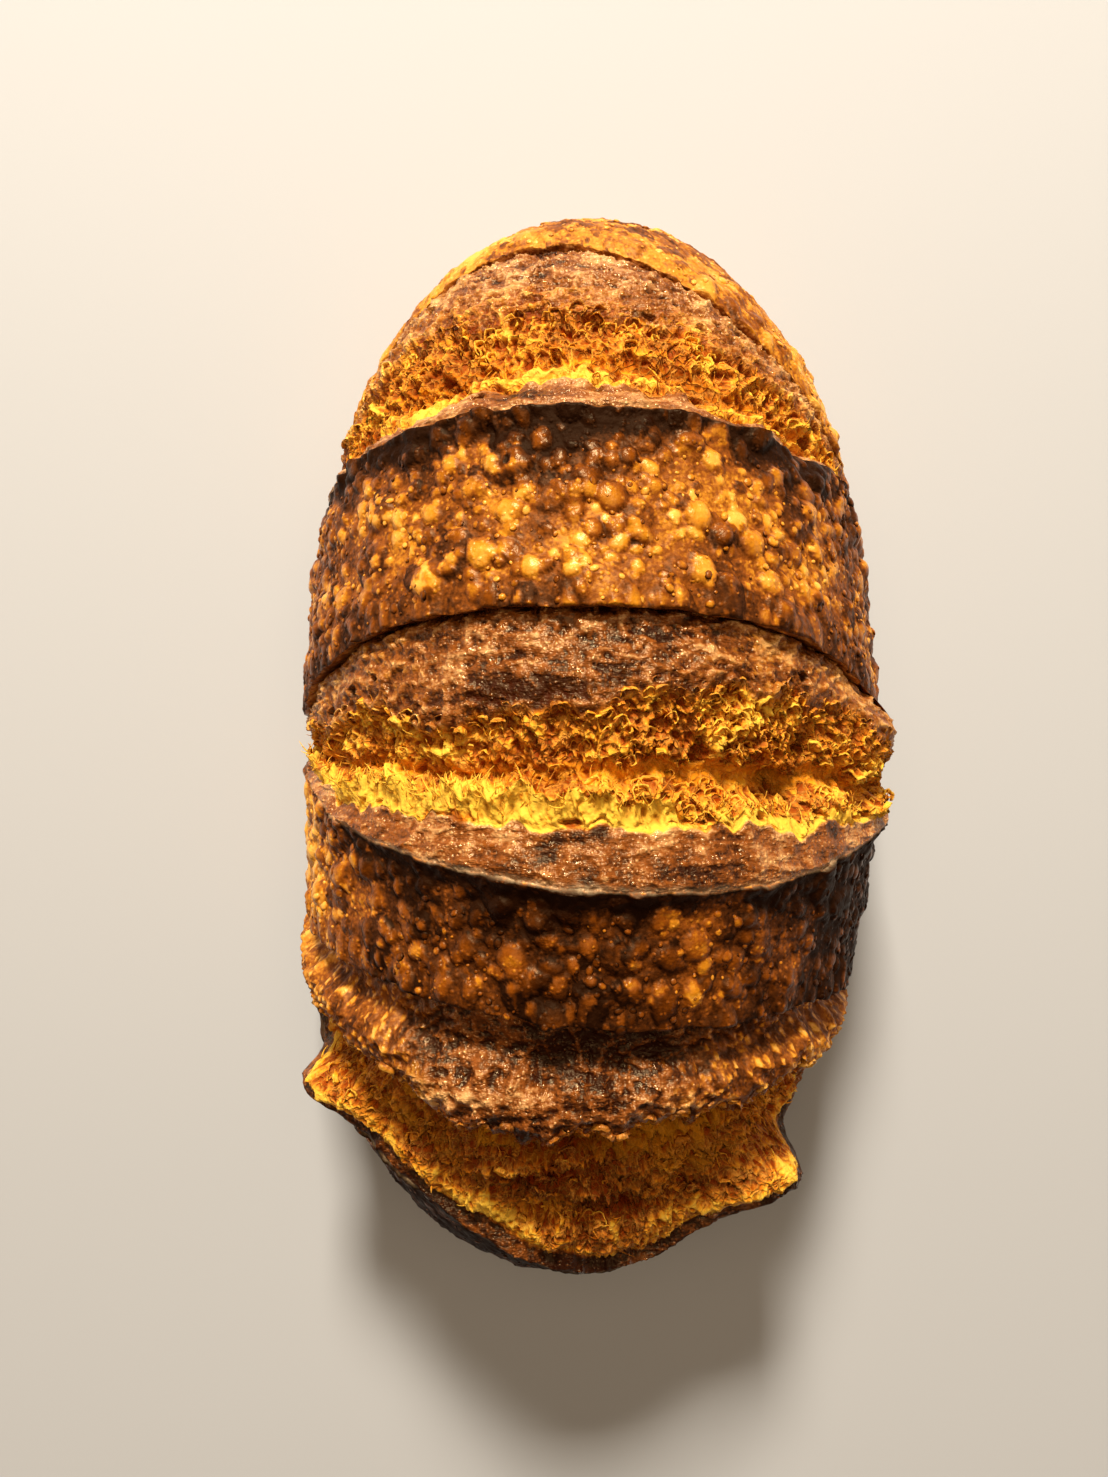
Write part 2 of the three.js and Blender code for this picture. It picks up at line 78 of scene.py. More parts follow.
# ------------------------------------------------------------------ the scored openings
# A place across the loaf is a share q of the way from the crown (0) down the side to the base
# (1), negative on the left. Lengths and levels are in mm, as in the CAD source. Every row gives the
# far, the middle and the near opening.
OPENING_FORMS = dict(
    # the rim: where its crest lies, and how far it bows along the loaf to the left and right
    rim_y=(69.3, -28.6, -118), rim_at=(-0.08, 0.12, 0.1), bow_left=(-30, 41, 88),
    bow_right=(-26, 55, 105),
    # how far it gapes, where most, and where it ends at either side
    gap=(45, 57, 63), gap_at=(-0.25, 0.06, 0.06), tip_left=(-0.75, -0.72, -0.86),
    tip_right=(0.6, 0.68, 0.86), taper=(2.6, 2.3, 2.3),
    # the share of the gap that is skin, and the width of the shelf
    frill_left=(0.52, 0.6, 0.6), frill_right=(0.54, 0.73, 0.68), shelf=(6, 11, 1.2),
    shelf_least=(2, 2, 1.2), shelf_at=(-0.05, 0.04, 0.05), shelf_spread=(0.24, 0.34, 0.6),
    # levels over the plain loaf, and profiles as (share of the way, level)
    skin=(
        [(0.13, -1), (0.4, -0.7), (0.8, -0.3)],
        [(0.13, -1.5), (0.4, -1), (0.8, -0.2)],
        [(0.13, -3), (0.4, -3.4), (0.78, 3), (0.92, 3)],
    ),
    crumb_left=(
        [(0.12, -1.4), (0.45, -2.2), (0.7, -3.2), (0.88, -1.2)],
        [(0.12, -2.2), (0.4, -3.2), (0.58, -5.4), (0.72, -0.3)],
        [(0.07, -3), (0.2, -7.5), (0.44, -4.4), (0.66, -5.2), (0.92, 0.4)],
    ),
    crumb_right=(
        [(0.12, -1.2), (0.45, -2), (0.7, -3), (0.88, -1.2)],
        [(0.1, -1.4), (0.42, -1.6), (0.6, -6.4), (0.86, -0.6)],
        [(0.07, -3), (0.24, -7.5), (0.48, -4.4), (0.66, -4.8), (0.92, 0.4)],
    ),
    lift=(0.9, 1.4, 1.2), undercut=(2.6, 3.6, 3.2), frill_level=(-0.7, -0.3, 2.2),
    shelf_level=(-1.8, -1, -0.8), rim=(1.8, 2.4, 2.6),
    # how far the frilled edge hangs over, and how much it and the lip wander
    hang=(0.2, 0.7, 1.2), frill_wander=(0.7, 1, 1), lip_wander=(1, 1.6, 0.6),
    # swollen places: q, y, reach in q, reach along the loaf and height
    bulges=(
        [(0.36, 66, 0.05, 4, -5), (-0.3, 76, 0.04, 3, -3)],
        [(0.5, 3, 0.1, 9, 6), (0.52, -13, 0.09, 8, 5), (0.33, 2, 0.035, 5, -5),
         (0.28, -8, 0.04, 6, -4), (0.12, -12, 0.07, 5, -2)],
        [(-0.5, -72, 0.12, 4, -4), (-0.52, -81, 0.12, 6, 9), (0.5, -91, 0.1, 4, -3.5),
         (0.47, -102, 0.11, 8, 12), (-0.22, -93, 0.12, 3, 3), (0.03, -100, 0.13, 3, 3.5),
         (-0.1, -105.5, 0.09, 3, -3.5)],
    ),
    # how dark the skin, its edges, the crumb, its lip and the shelf are baked
    # the near opening's negative frill_bake lightens its skin up to the ridge: painted highlight
    skin_bake=(0.46, 0.57, 0.8), edge_bake=(0.35, 0.37, 0.47), frill_bake=(0, 0.8, -0.62),
    toast=(0.52, 0.53, 0.8), lip_toast=(0.33, -0.04, 0.37), shelf_bake=(0.48, 0.61, 0.95),
    # where the lip starts in the crumb, how rough the crumb is and how calm its valley
    lip_left=(0.8, 0.68, 0.8), lip_right=(0.8, 0.87, 0.8), rough=(0.8, 1, 1),
    valley_calm=(0.5, 0.85, 0.3),
    # how much shows of thin walls, moist crumb with painted shade deep in the tear, curled films,
    # strands, flour, crust on the skin and crumb in its lower half
    web_left=(1, 0.45, 0.9), web_right=(0.8, 1.1, 0.9), olive=(0.15, 0.6, 1),
    frill_curls=(0.5, 1, 1), lip_strands=(0.3, 1, 0.15), rim_flour=(0.15, 0.8, 0.6),
    crusty=(0.1, 0.3, 0.9), fade=(0.75, 0.15, 0),
    # patches of tone: q, y, width, length, how much darker and, for some, how much moister
    stains=(
        [(-0.1, 111, 7, 2.5, 0.2), (0.12, 74, 14, 1.6, 0.3), (-0.12, 73, 8, 1.5, 0.3),
         (0, 93, 12, 3, 0.14), (-0.3, 96, 8, 3, 0.12)],
        [(-0.1, 10.5, 12, 3, 0.4), (-0.24, 21.5, 6, 3, 0.14), (-0.38, 18, 6, 4, 0.2),
         (0.06, 22, 13, 2.6, 0.22), (0, 17, 6, 3, 0.2), (0.12, 6, 5, 4, 0.2),
         (0.24, 8, 7, 4, -0.2), (-0.28, 5, 12, 4, -0.12, 0.35), (-0.02, -17, 3.4, 1.4, 0.5),
         (0.13, -18, 2.6, 1.2, 0.5), (-0.2, -15, 2.2, 1.6, 0.6), (-0.12, -22, 11, 2.6, 0.2),
         (0.12, -24, 12, 2.6, 0.2), (-0.35, -13, 7, 3, 0.14), (0.33, 3, 2.2, 5, 0.45),
         (0.29, -7, 2.2, 4, 0.4), (0.45, 6, 6, 4, 0, 0.5), (0.46, -6, 8, 4.5, -0.2, -0.4),
         (-0.44, 2, 5, 4, -0.3), (0.02, -6, 9, 2.5, -0.1, 0.3)],
        [(-0.02, -88, 13, 3, 0.5, -1), (-0.08, -92.4, 11, 1.1, -0.42, -1),
         (-0.05, -95.4, 12, 1.6, 1, -1), (0.1, -104.6, 8, 1.4, 0.9, -1),
         (-0.07, -104.5, 5.5, 2.4, -0.2, 1.2), (-0.36, -84, 8, 2.6, 0.15, 1),
         # (0, -61) darkens the near skin just under its crust edge: painted shadow of that edge
         (-0.06, -100, 12, 3, 0.3, -0.5), (0, -61, 40, 4, 0.22), (0.27, -94, 10, 2.4, 0.15, 1),
         (0, -110.5, 11, 2.6, 0.22, -0.3), (0.08, -107, 8, 1.2, -0.4, -0.6),
         # (-0.36, -74), (-0.12, -71) and (0.16, -72) lighten the near ridge: painted highlight
         # where it catches the light
         (-0.36, -74, 6, 3, -0.35), (-0.12, -71, 14, 2.6, -0.5), (0.16, -72, 10, 3, -0.3),
         (-0.1, -79, 12, 2, 0.45), (0.2, -80, 9, 2, 0.4)],
    ),
    # holes: q, y, radius, depth, and how wide for their length
    pits=(
        [(-0.356, 108.5, 1.2, 1.6, 2), (-0.275, 109.5, 0.9, 1.2, 2), (-0.131, 111, 1.3, 1.2, 2),
         (-0.38, 100, 1.2, 1.4, 1), (-0.284, 81.5, 2.2, 3, 1), (-0.247, 87, 1.8, 2, 1),
         (-0.353, 88, 1.7, 2, 1), (-0.47, 81, 1.9, 2.5, 1), (0.42, 70, 2.6, 4, 1.4),
         (-0.2, 73.5, 0.9, 2.2, 4), (0.17, 73.5, 0.8, 2, 4), (0.1, 92, 1.4, 1.4, 1.3),
         (0.2, 90, 1.5, 1.6, 1)],
        [(-0.391, 11.8, 1.9, 3.5, 1), (-0.341, 14.3, 1.1, 2.5, 1), (-0.467, 7, 2.4, 4, 1),
         (0.306, 14.2, 1.5, 3, 1), (0.188, 1, 2.2, 3, 1), (0.228, 1.5, 2, 2.5, 1),
         (-0.344, 23, 1, 1, 2), (-0.041, -15, 1.2, 2, 2.2), (0.34, 0, 2.2, 3, 0.7),
         (0.3, -9, 1.8, 3, 0.7), (0.24, -14.5, 1.4, 3, 1.5)],
        [(-0.08, -92.2, 2.4, -1.7, 4.4), (-0.05, -95.5, 1.9, 1.8, 5), (0.1, -104.8, 1.7, 1.6, 3.6),
         (-0.2, -92, 2.2, 2.4, 1), (0.068, -98.8, 2.2, 3, 1.4), (0.25, -96, 1.8, 2.2, 1),
         (-0.42, -80, 2, 2.4, 1), (-0.05, -93, 1.8, 2.4, 1.3), (0.18, -89, 2, 2.6, 1),
         (0.32, -92, 1.8, 2.2, 1), (-0.32, -84, 1.9, 2.2, 1), (-0.14, -99, 1.5, 2, 2),
         (0.07, -106, 1.6, 2, 1.8), (0.2, -102, 1.5, 1.8, 1.2), (-0.48, -77, 1.6, 2, 1),
         (0.42, -93, 1.6, 2, 1), (-0.26, -99, 1.5, 2, 1), (-0.02, -88, 1.4, 2, 1.6)],
    ),
)
OPENINGS = [SimpleNamespace(**dict(zip(OPENING_FORMS, own)))
            for own in zip(*OPENING_FORMS.values())]
CRUMB_TURN_AT = 0.02
CRUMB_TURN = 0.16
CLOSED_GAP = 8
TIP_FADE = 14
WALL_RUN = 0.8
OVERHANG = 2.2
RIM_FALL = 7
RIM_SIDE_LOSS = 0.6
RIM_SIDE_START = 0.6
EDGE_RISE = 9

# ------------------------------------------------------------------ unevenness, as in the CAD
SWELL = 1.1
SWELL_SIZE = 34
BLISTER_RISE = 1.2
BLISTER_SIZE = 11
FRILL_WANDER = 2.4
FRILL_SIZE = 9
LIP_WANDER = 1.6
LIP_SIZE = 12
CRUMB_ROUGH = 2.2
CRUMB_WIDE = 7
CRUMB_LONG = 12
SEED = 11
# finer waves along the edges: height, size, and two numbers for the draw
RIM_WAVES = (0.4, 8, 0, 0), (0.25, 2.5, 1, 20)
FRILL_WAVES = (FRILL_WANDER, FRILL_SIZE, 7, 1), (1.3, 3.4, 2, 21), (0.8, 1.5, 4, 22)
LIP_WAVES = (1, 3.8, 5, 23), (0.5, 1.6, 6, 24)
# where the start of the lip turns from its left value to its right one
LIP_TURN_AT = 0.04
LIP_TURN = 0.07

# ------------------------------------------------------------------ mesh fineness
STEP = 0.57  # spacing of the rows, and of the columns over the crown
SIDE_STEP = 0.85  # spacing of the columns down the sides
BASE_COLUMNS = 28


def mix(a, b, t):
    return a + (b - a) * t


def smooth(t):
    t = clamp(t)
    return t * t * (3 - 2 * t)


def clamp(t):
    return np.clip(t, 0, 1)


def bump(d):
    return np.exp(-d * d)


def signed_power(v, p):
    return np.sign(v) * np.abs(v) ** p


def through(keys, t):
    """A level that passes smoothly through its (place, level) keys."""
    level = keys[0][1] + 0 * t
    for (start, low), (end, high) in zip(keys, keys[1:]):
        level = np.where(t > start, mix(low, high, smooth((t - start) / (end - start))), level)
    return level


def cell_random(i, j, k, seed):
    """A repeatable random number from 0 to 1 for a cell of a grid. Each use has its own seed."""
    h = i * np.uint32(374761393)
    h ^= j * np.uint32(668265263)
    h ^= k * np.uint32(2147483629)
    h ^= np.uint32(((SEED + seed) * 1274126177) & 0xFFFFFFFF)
    h = (h ^ (h >> np.uint32(13))) * np.uint32(1274126177)
    h = (h ^ (h >> np.uint32(16))) * np.uint32(2246822519)
    return (h ^ (h >> np.uint32(15))) / 4294967296.0


def whole(v):
    """The whole number under v, wrapped to 32 bits as the CAD source does."""
    return np.floor(v).astype(np.int64).astype(np.uint32)


def noise(x, y, z, seed):
    """Smooth noise from -1 to 1 with features about one unit wide."""
    x, y, z = np.broadcast_arrays(x, y, z)
    i, j, k = whole(x), whole(y), whole(z)
    u, v, w = (smooth(c - np.floor(c)) for c in (x, y, z))
    total = np.zeros(x.shape)
    for corner in range(8):
        a, b, c = corner & 1, (corner >> 1) & 1, corner >> 2
        weight = (u if a else 1 - u) * (v if b else 1 - v) * (w if c else 1 - w)
        total += weight * cell_random(i + np.uint32(a), j + np.uint32(b), k + np.uint32(c), seed)
    return 2 * total - 1


def noise_at(points, size, seed, long=None):
    """Noise with features of that size in mm, and of length long along the loaf."""
    x, y, z = np.moveaxis(points, -1, 0)
    return noise(x / size, y / (long or size), z / size, seed)


def dents(points, size, seeds):
    """Noise of its own each way, which bends patterns when it is added to their points."""
    return np.stack([noise_at(points, size, seed) for seed in seeds], axis=-1)


def waves(across, index, rows):
    """Waves along an edge of an opening, from rows of height, size and two numbers for the draw."""
    return sum(height * noise(across / size, index, at, seed) for height, size, at, seed in rows)


def cells_round(points, size, margin, seed):
    """The 27 cells of a grid round each point: a cell's numbers, and the way to the point from its
    own middle, which lies anywhere in the cell but for that margin. Both are in cells."""
    cells = points / size
    corner = np.floor(cells)
    for n in range(27):
        steps = (n % 3 - 1, n // 3 % 3 - 1, n // 9 - 1)
        cell = [whole(cells[..., axis]) + np.uint32(step & 0xFFFFFFFF)
                for axis, step in enumerate(steps)]
        away = [cells[..., axis] - (corner[..., axis] + step + margin
                                    + (1 - 2 * margin) * cell_random(*cell, seed + axis))
                for axis, step in enumerate(steps)]
        yield cell, away


def blisters(points, size, small, large, seed, share=1):
    """Round blisters about size mm apart, in that share of the cells. Returns the rise of the
    highest dome, 0 to 1, its radius in mm and its own random number."""
    rise, radius_there, tint = (np.zeros(points.shape[:-1]) for _ in range(3))
    for cell, away in cells_round(points, size, 0.15, seed):
        squared = sum(a**2 for a in away)
        radius = small + (large - small) * cell_random(*cell, seed + 4)
        radius = radius * (cell_random(*cell, seed + 6) < share) + 1e-6
        reach = np.sqrt(clamp(1 - squared / radius**2))
        higher = reach * radius > rise * radius_there / size + 1e-9
        rise = np.where(higher, reach, rise)
        radius_there = np.where(higher, radius * size, radius_there)
        tint = np.where(higher, cell_random(*cell, seed + 5), tint)
    return rise, radius_there, tint


def torn_cells(points, wide, long, seed):
    """Cells of torn crumb. Returns the distance from the wall between two cells in cell widths,
    how far above its middle (towards +Y) the place lies, and the cell's own random number."""
    near, second = (np.full(points.shape[:-1], 9.0) for _ in range(2))
    above, tint = (np.zeros(points.shape[:-1]) for _ in range(2))
    for cell, away in cells_round(points, np.array([wide, long, wide], float), 0, seed):
        distance = np.sqrt(sum(a**2 for a in away))
        closer = distance < near
        second = np.where(closer, near, np.minimum(second, distance))
        above = np.where(closer, away[1], above)
        tint = np.where(closer, cell_random(*cell, seed + 5), tint)
        near = np.where(closer, distance, near)
    return second - near, above, tint


# ------------------------------------------------------------------ the plain loaf's surface
def bend_at(y):
    return NEAR_END_BEND * smooth((BEND_START - y) / BEND_LENGTH)


def fullness(y, power):
    return np.clip(1 - (np.abs(y) / HALF_LENGTH) ** power, 0, None) ** (1 / power)


def on_hearth(z):
    """Cuts the belly curve off at the hearth, with a rounded edge and a truly flat base."""
    rounded = (z + BASE_EDGE) ** 2 / (4 * BASE_EDGE)
    return np.where(z >= BASE_EDGE, z, np.where(z <= -BASE_EDGE, 0, rounded))


def plain_point(y, q):
    angle = math.pi / 2 - q * SIDE_ANGLE
    up = np.sin(angle)
    power = np.where(up > 0, CROWN_POWER, BELLY_POWER)
    half_width = WIDTH / 2 * fullness(y, PLAN_POWER)
    x = bend_at(y) + half_width * signed_power(np.cos(angle), 2 / power)
    crown = (HEIGHT - WIDEST_LEVEL) * fullness(y, ARCH_POWER)
    belly = WIDEST_LEVEL * BELLY_REACH * fullness(y, BELLY_ARCH_POWER)
    z = WIDEST_LEVEL + np.where(up > 0, crown, belly) * signed_power(up, 2 / power)
    return np.stack(np.broadcast_arrays(x, y, on_hearth(z)), axis=-1)


def spot(q, y):
    """The point of the plain loaf at one q and y."""
    return plain_point(np.array(float(y)), np.array(q))


def unit(v):
    return v / np.maximum(np.linalg.norm(v, axis=-1, keepdims=True), 1e-12)


def plain_normal(y, q):
    dy = np.where(y > 0, -0.5, 0.5)
    along = (plain_point(y + dy, q) - plain_point(y, q)) / dy[..., None]
    across = plain_point(y, q + 0.004) - plain_point(y, q - 0.004)
    return unit(np.cross(across, along))


# ------------------------------------------------------------------ the openings' edges
def across_at(q):
    return q * SIDE_ANGLE * WIDTH / 2


def rim_line(o, q):
    return o.rim_y + np.where(q < o.rim_at, o.bow_left, o.bow_right) * (q - o.rim_at) ** 2


def open_width(o, q):
    tip = np.where(q < o.gap_at, o.tip_left, o.tip_right)
    return o.gap * np.clip(1 - np.clip((q - o.gap_at) / (tip - o.gap_at), 0, 1) ** o.taper, 0, None)


def edges_at(index, q):
    """Where an opening's crust edge, frilled edge, shelf and rim lie along the loaf, at q."""
    o = OPENINGS[index]
    side = np.clip(q, o.tip_left, o.tip_right)
    fade = smooth((BASE_Q - np.abs(q)) / (BASE_Q - 1))
    width = open_width(o, q)
    gap = np.hypot(width, CLOSED_GAP)
    opened = smooth(width / TIP_FADE)
    across = across_at(q)
    rim = mix(o.rim_y, rim_line(o, side), 0.35 + 0.65 * fade) + waves(across, index, RIM_WAVES[:1])
    rim = rim + opened * waves(across, index, RIM_WAVES[1:])
    frill = waves(across, index, FRILL_WAVES) * o.frill_wander
    frill_share = mix(o.frill_left, o.frill_right, smooth((q + 0.2) / 0.5))
    shelf = o.shelf_least + o.shelf * opened * bump((q - o.shelf_at) / o.shelf_spread)
    shelf = shelf + LIP_WANDER * opened * noise(across / LIP_SIZE, index, 3, 2)
    shelf_share = np.clip(shelf / gap, 0.02, 0.4)
    lip = o.lip_wander * waves(across, index, LIP_WAVES)
    return SimpleNamespace(
        o=o,
        rim=rim,
        crust=rim + gap,
        frill=rim + gap * frill_share + frill * opened,
        shelf=rim + gap * shelf_share + lip * opened,
        opened=opened,
    )


def bulge_out(o, y, q):
    out = 0
    for at_q, at_y, wide, long, height in o.bulges:
        out += height * bump((q - at_q) / wide) * bump((y - at_y) / long)
    return out


def rim_level(o, q):
    return o.rim * (1 - RIM_SIDE_LOSS * smooth(np.abs(q) / RIM_SIDE_START))


# ------------------------------------------------------------------ strips
# The loaf is a stack of strips from its far end to its near end. A strip is laid out at shares t
# (rows) and q (columns), and gives the place along the loaf, the height over the plain loaf, the
# flare outwards and the pull towards the near end.
def crust_strip(t, q, before, after):
    start = before.rim if before else HALF_LENGTH
    end = after.crust if after else -HALF_LENGTH
    turn = mix(np.arcsin(start / HALF_LENGTH), np.arcsin(end / HALF_LENGTH), t)
    y = HALF_LENGTH * np.sin(turn + 0 * q)
    height = np.zeros(y.shape)
    flare = np.zeros(y.shape)
    pull = np.zeros(y.shape)
    if after:
        height += after.o.lift * after.opened * bump((y - after.crust) / EDGE_RISE)
        pull = OVERHANG * after.opened * bump((y - after.crust) / 2)
    if before:
        past = np.clip(1 - (before.rim - y) / RIM_FALL, 0, None) ** 2
        height += rim_level(before.o, q) * before.opened * past
        flare = bulge_out(before.o, before.rim, q) * past
    return SimpleNamespace(kind="crust", t=t + 0 * q, y=y, height=height, flare=flare, pull=pull,
                           before=before, after=after)


def crest_shift(o, t, q):
    """The share through the crumb whose level is met at t: the lip's crest wanders a little."""
    across = across_at(q)
    wander = noise(across / 5.5, 2, 6, 46) + 0.6 * noise(across / 2.4, 4, 6, 45)
    shift = 0.035 * o.lip_wander * wander * clamp(t / 0.5)
    return t + shift * clamp((1 - t) / 0.12)


def opening_strips(edges, q, rows):
    """The undercut wall, the skin, the torn crumb and the shelf of one opening."""
    o = edges.o
    wall_end = edges.crust - WALL_RUN
    skin_keys = [(0, -o.undercut), *o.skin, (1, o.frill_level)]
    turn = smooth((q - CRUMB_TURN_AT) / CRUMB_TURN)
    crumb_keys = [(0, o.frill_level)]
    for (left_t, left_level), (right_t, right_level) in zip(o.crumb_left, o.crumb_right):
        crumb_keys.append((mix(left_t, right_t, turn), mix(left_level, right_level, turn)))
    crumb_keys.append((1, o.shelf_level))
    plans = [
        ("wall", edges.crust, wall_end, lambda t: mix(o.lift, -o.undercut, smooth(t)),
         lambda t: OVERHANG * (1 - smooth(t))),
        ("skin", wall_end, edges.frill, lambda t: through(skin_keys, t), lambda t: 0),
        ("crumb", edges.frill, edges.shelf, lambda t: through(crumb_keys, crest_shift(o, t, q)),
         lambda t: o.hang * bump((t - 0.02) / 0.04)),
        ("shelf", edges.shelf, edges.rim,
         lambda t: mix(o.shelf_level, rim_level(o, q), smooth(t)), lambda t: 0),
    ]
    strips = []
    for kind, start, end, level, pull in plans:
        t = rows(kind) + 0 * q
        y = mix(start, end, t)
        strips.append(SimpleNamespace(
            kind=kind, t=t, y=y, height=level(t) * edges.opened, flare=bulge_out(o, y, q),
            pull=pull(t) * edges.opened, before=edges, after=None))
    return strips


def coarse_point(strip, q):
    """The strip's points without any unevenness, which only serve to space its rows."""
    point = plain_point(strip.y, q)
    normal = plain_normal(strip.y, q)
    point += normal * strip.height[..., None]
    point[..., 1] -= strip.pull
    return point


# ------------------------------------------------------------------ relief and looks of each strip
# Every look is a number per vertex: bake (0 pale to 1 charred), dome (0 to 1 up a blister or a torn
# wall), tint (each blister's or cell's own), torn and skin (which finish shows), hollow (painted
# shade:
# how deep a place lies in a cell, a hole or a dip, which the material darkens and reddens), olive
# (the moist crumb deep in a tear, partly painted shade there) and flour. Growth says how thickly
# small things stand there.
LOOKS = ("bake", "dome", "tint", "torn", "skin", "hollow", "olive", "flour")
GROWTH = ("blisters", "strands", "curls")


def looks_of(point, **given):
    return {name: np.zeros(point.shape[:-1]) + given.get(name, 0) for name in LOOKS + GROWTH}


def sunken(rise, reach):
    """How far a place lies under the mean of its surroundings, reach rows and columns each way."""
    mean = rise
    steps = range(-reach, reach + 1)
    for axis in (0, 1):
        mean = sum(np.roll(mean, step, axis=axis) for step in steps) / len(steps)
    return mean - rise


def folded(point, across, along, seed, warp=0):
    """Creases, 1 on each crease, that run across the loaf."""
    x = (point[..., 0] + 0.3 * point[..., 2] + 0.4 * warp) / across
    y = (point[..., 1] + warp) / along
    z = (point[..., 2] - 0.3 * point[..., 0] + 0.4 * warp) / across
    return 1 - np.abs(noise(x, y, z, seed))


BLISTER_CELLS = (  # spacing, smallest and largest radius in cells, share of the cells, seed
    (7.5, 0.22, 0.5, 1, 30), (4.6, 0.3, 0.54, 1, 36), (2.9, 0.24, 0.5, 0.8, 43))
DOME_HEIGHT = 0.48  # of a blister, for its radius
CALM_END = 112  # past it, towards either end, the blisters are lower
BARE_BELOW = 14  # the level under which no small blisters stand
CRACK_WIDTH = 0.5
CRACK_DEPTH = 0.8


def crust_relief(strip, point, q, band):
    """Blisters over blisters, and how dark the crust is baked."""
    big, _, tint = blisters(point, BLISTER_SIZE, 0.2, 0.6, 10)
    room = smooth(0.9 + 0.9 * noise_at(point, 13, 50))
    rise = np.zeros(big.shape)
    dome = np.zeros(big.shape)
    dented = point + 0.7 * dents(point, 3, (31, 32, 33))
    for size, small, large, share, seed in BLISTER_CELLS:
        reach, radius, own = blisters(dented, size, small, large, seed, share)
        keep = room if size > 6 else mix(0.7, 1, room)
        up = DOME_HEIGHT * radius * reach * keep
        tint = np.where(up > rise, own, tint)
        dome = np.maximum(dome, reach * keep)
        rise = np.maximum(rise, up)
    ends = mix(0.4, 1, smooth((CALM_END - np.abs(strip.y)) / 25))
    rise = (rise + BLISTER_RISE * big) * ends
    dome = np.maximum(dome, 0.3 * big) * ends
    for at_q, at_y, radius in band.named_blisters:
        middle = spot(at_q, at_y)
        warped = point + 0.16 * radius * noise_at(point, 3, 55)[..., None]
        reach = np.sqrt(np.clip(1 - ((warped - middle) ** 2).sum(axis=-1) / radius**2, 0, 1))
        rise = np.maximum(rise, 0.46 * radius * reach + 0.25 * rise)
        dome = np.maximum(dome, reach)
    folds = folded(point, 5, 1.3, 57, 1.5 * noise_at(point, 6, 56))
    rise = rise + 0.3 * folds**4 * (1 - 0.7 * dome) + 0.14 * noise_at(point, 1.3, 53)

    bake = band.bake + 0.16 * noise_at(point, 19, 51) + 0.2 * noise_at(point, 7, 52)
    side = smooth((np.abs(q) - 0.22) / 0.3)
    bake += side * np.where(q < 0, band.left, band.right)
    charred = 0
    if strip.before:
        behind = np.clip(strip.before.rim - strip.y, 0, None)
        wide = 1 + 0.5 * noise(across_at(q) / 15, 3, 1, 54) - 0.45 * side
        wide = (wide - 0.4 * smooth(q / 0.2)) * band.char_width
        charred = strip.before.opened * bump(behind / wide * (1 + 0.5 * noise_at(point, 6, 58)))
        bake += band.char * charred
    if strip.after:
        ahead = strip.y - strip.after.crust
        uneven = 1 + 0.8 * noise_at(point, 8, 59)
        bake += band.edge_char * strip.after.opened * bump(ahead / 4) * uneven
    for at_q, at_y, half in band.cracks:
        off = point - spot(at_q, at_y)
        aside = np.abs(off[..., 0] + 0.4 * noise(point[..., 1] / 2, 3, 8, 55)) / CRACK_WIDTH
        crack = bump(aside) * smooth((half - np.abs(off[..., 1])) / 1.5)
        rise -= CRACK_DEPTH * crack
        # painted shade: the crust is darkened along the crack's groove
        bake += 0.9 * crack
        dome = dome * (1 - crack)
    looks = looks_of(point, bake=bake, dome=dome, tint=tint)
    looks["flour"] = smooth((8 - point[..., 2]) / 8) * 0.5
    growing = 0.5 + 0.7 * noise_at(point, 9, 49) + 0.35 * side - 0.9 * charred
    growing = clamp(growing) * (1 - 0.85 * dome) * mix(0.25, 1, ends)
    looks["blisters"] = growing * smooth((point[..., 2] - BARE_BELOW) / 10)
    return rise, looks


def pits_rise(point, pits):
    """Holes with a sharp raised edge."""
    rise = np.zeros(point.shape[:-1])
    for at_q, at_y, radius, depth, wide in pits:
        middle = spot(at_q, at_y)
        stretched = (point - middle) * np.array([1 / wide, 1.3, 1])
        away = np.sqrt((stretched**2).sum(axis=-1)) / radius * (1 + 0.25 * noise_at(point, 2, 59))
        rise = rise - depth * smooth((1.1 - away) / 0.5) + 0.35 * bump((away - 1.15) / 0.2)
    return rise


def stained(point, stains):
    """How much darker and how much moister the patches make each place."""
    darker = np.zeros(point.shape[:-1])
    moister = np.zeros(point.shape[:-1])
    for at_q, at_y, wide, long, dark, *moist in stains:
        middle = spot(at_q, at_y)
        away = np.sqrt((((point - middle) / np.array([wide, long, wide])) ** 2).sum(axis=-1))
        patch = bump(away * (1 + 0.35 * noise_at(point, 3.5, 48)))
        darker += dark * patch
        moister += sum(moist) * patch
    return darker, moister


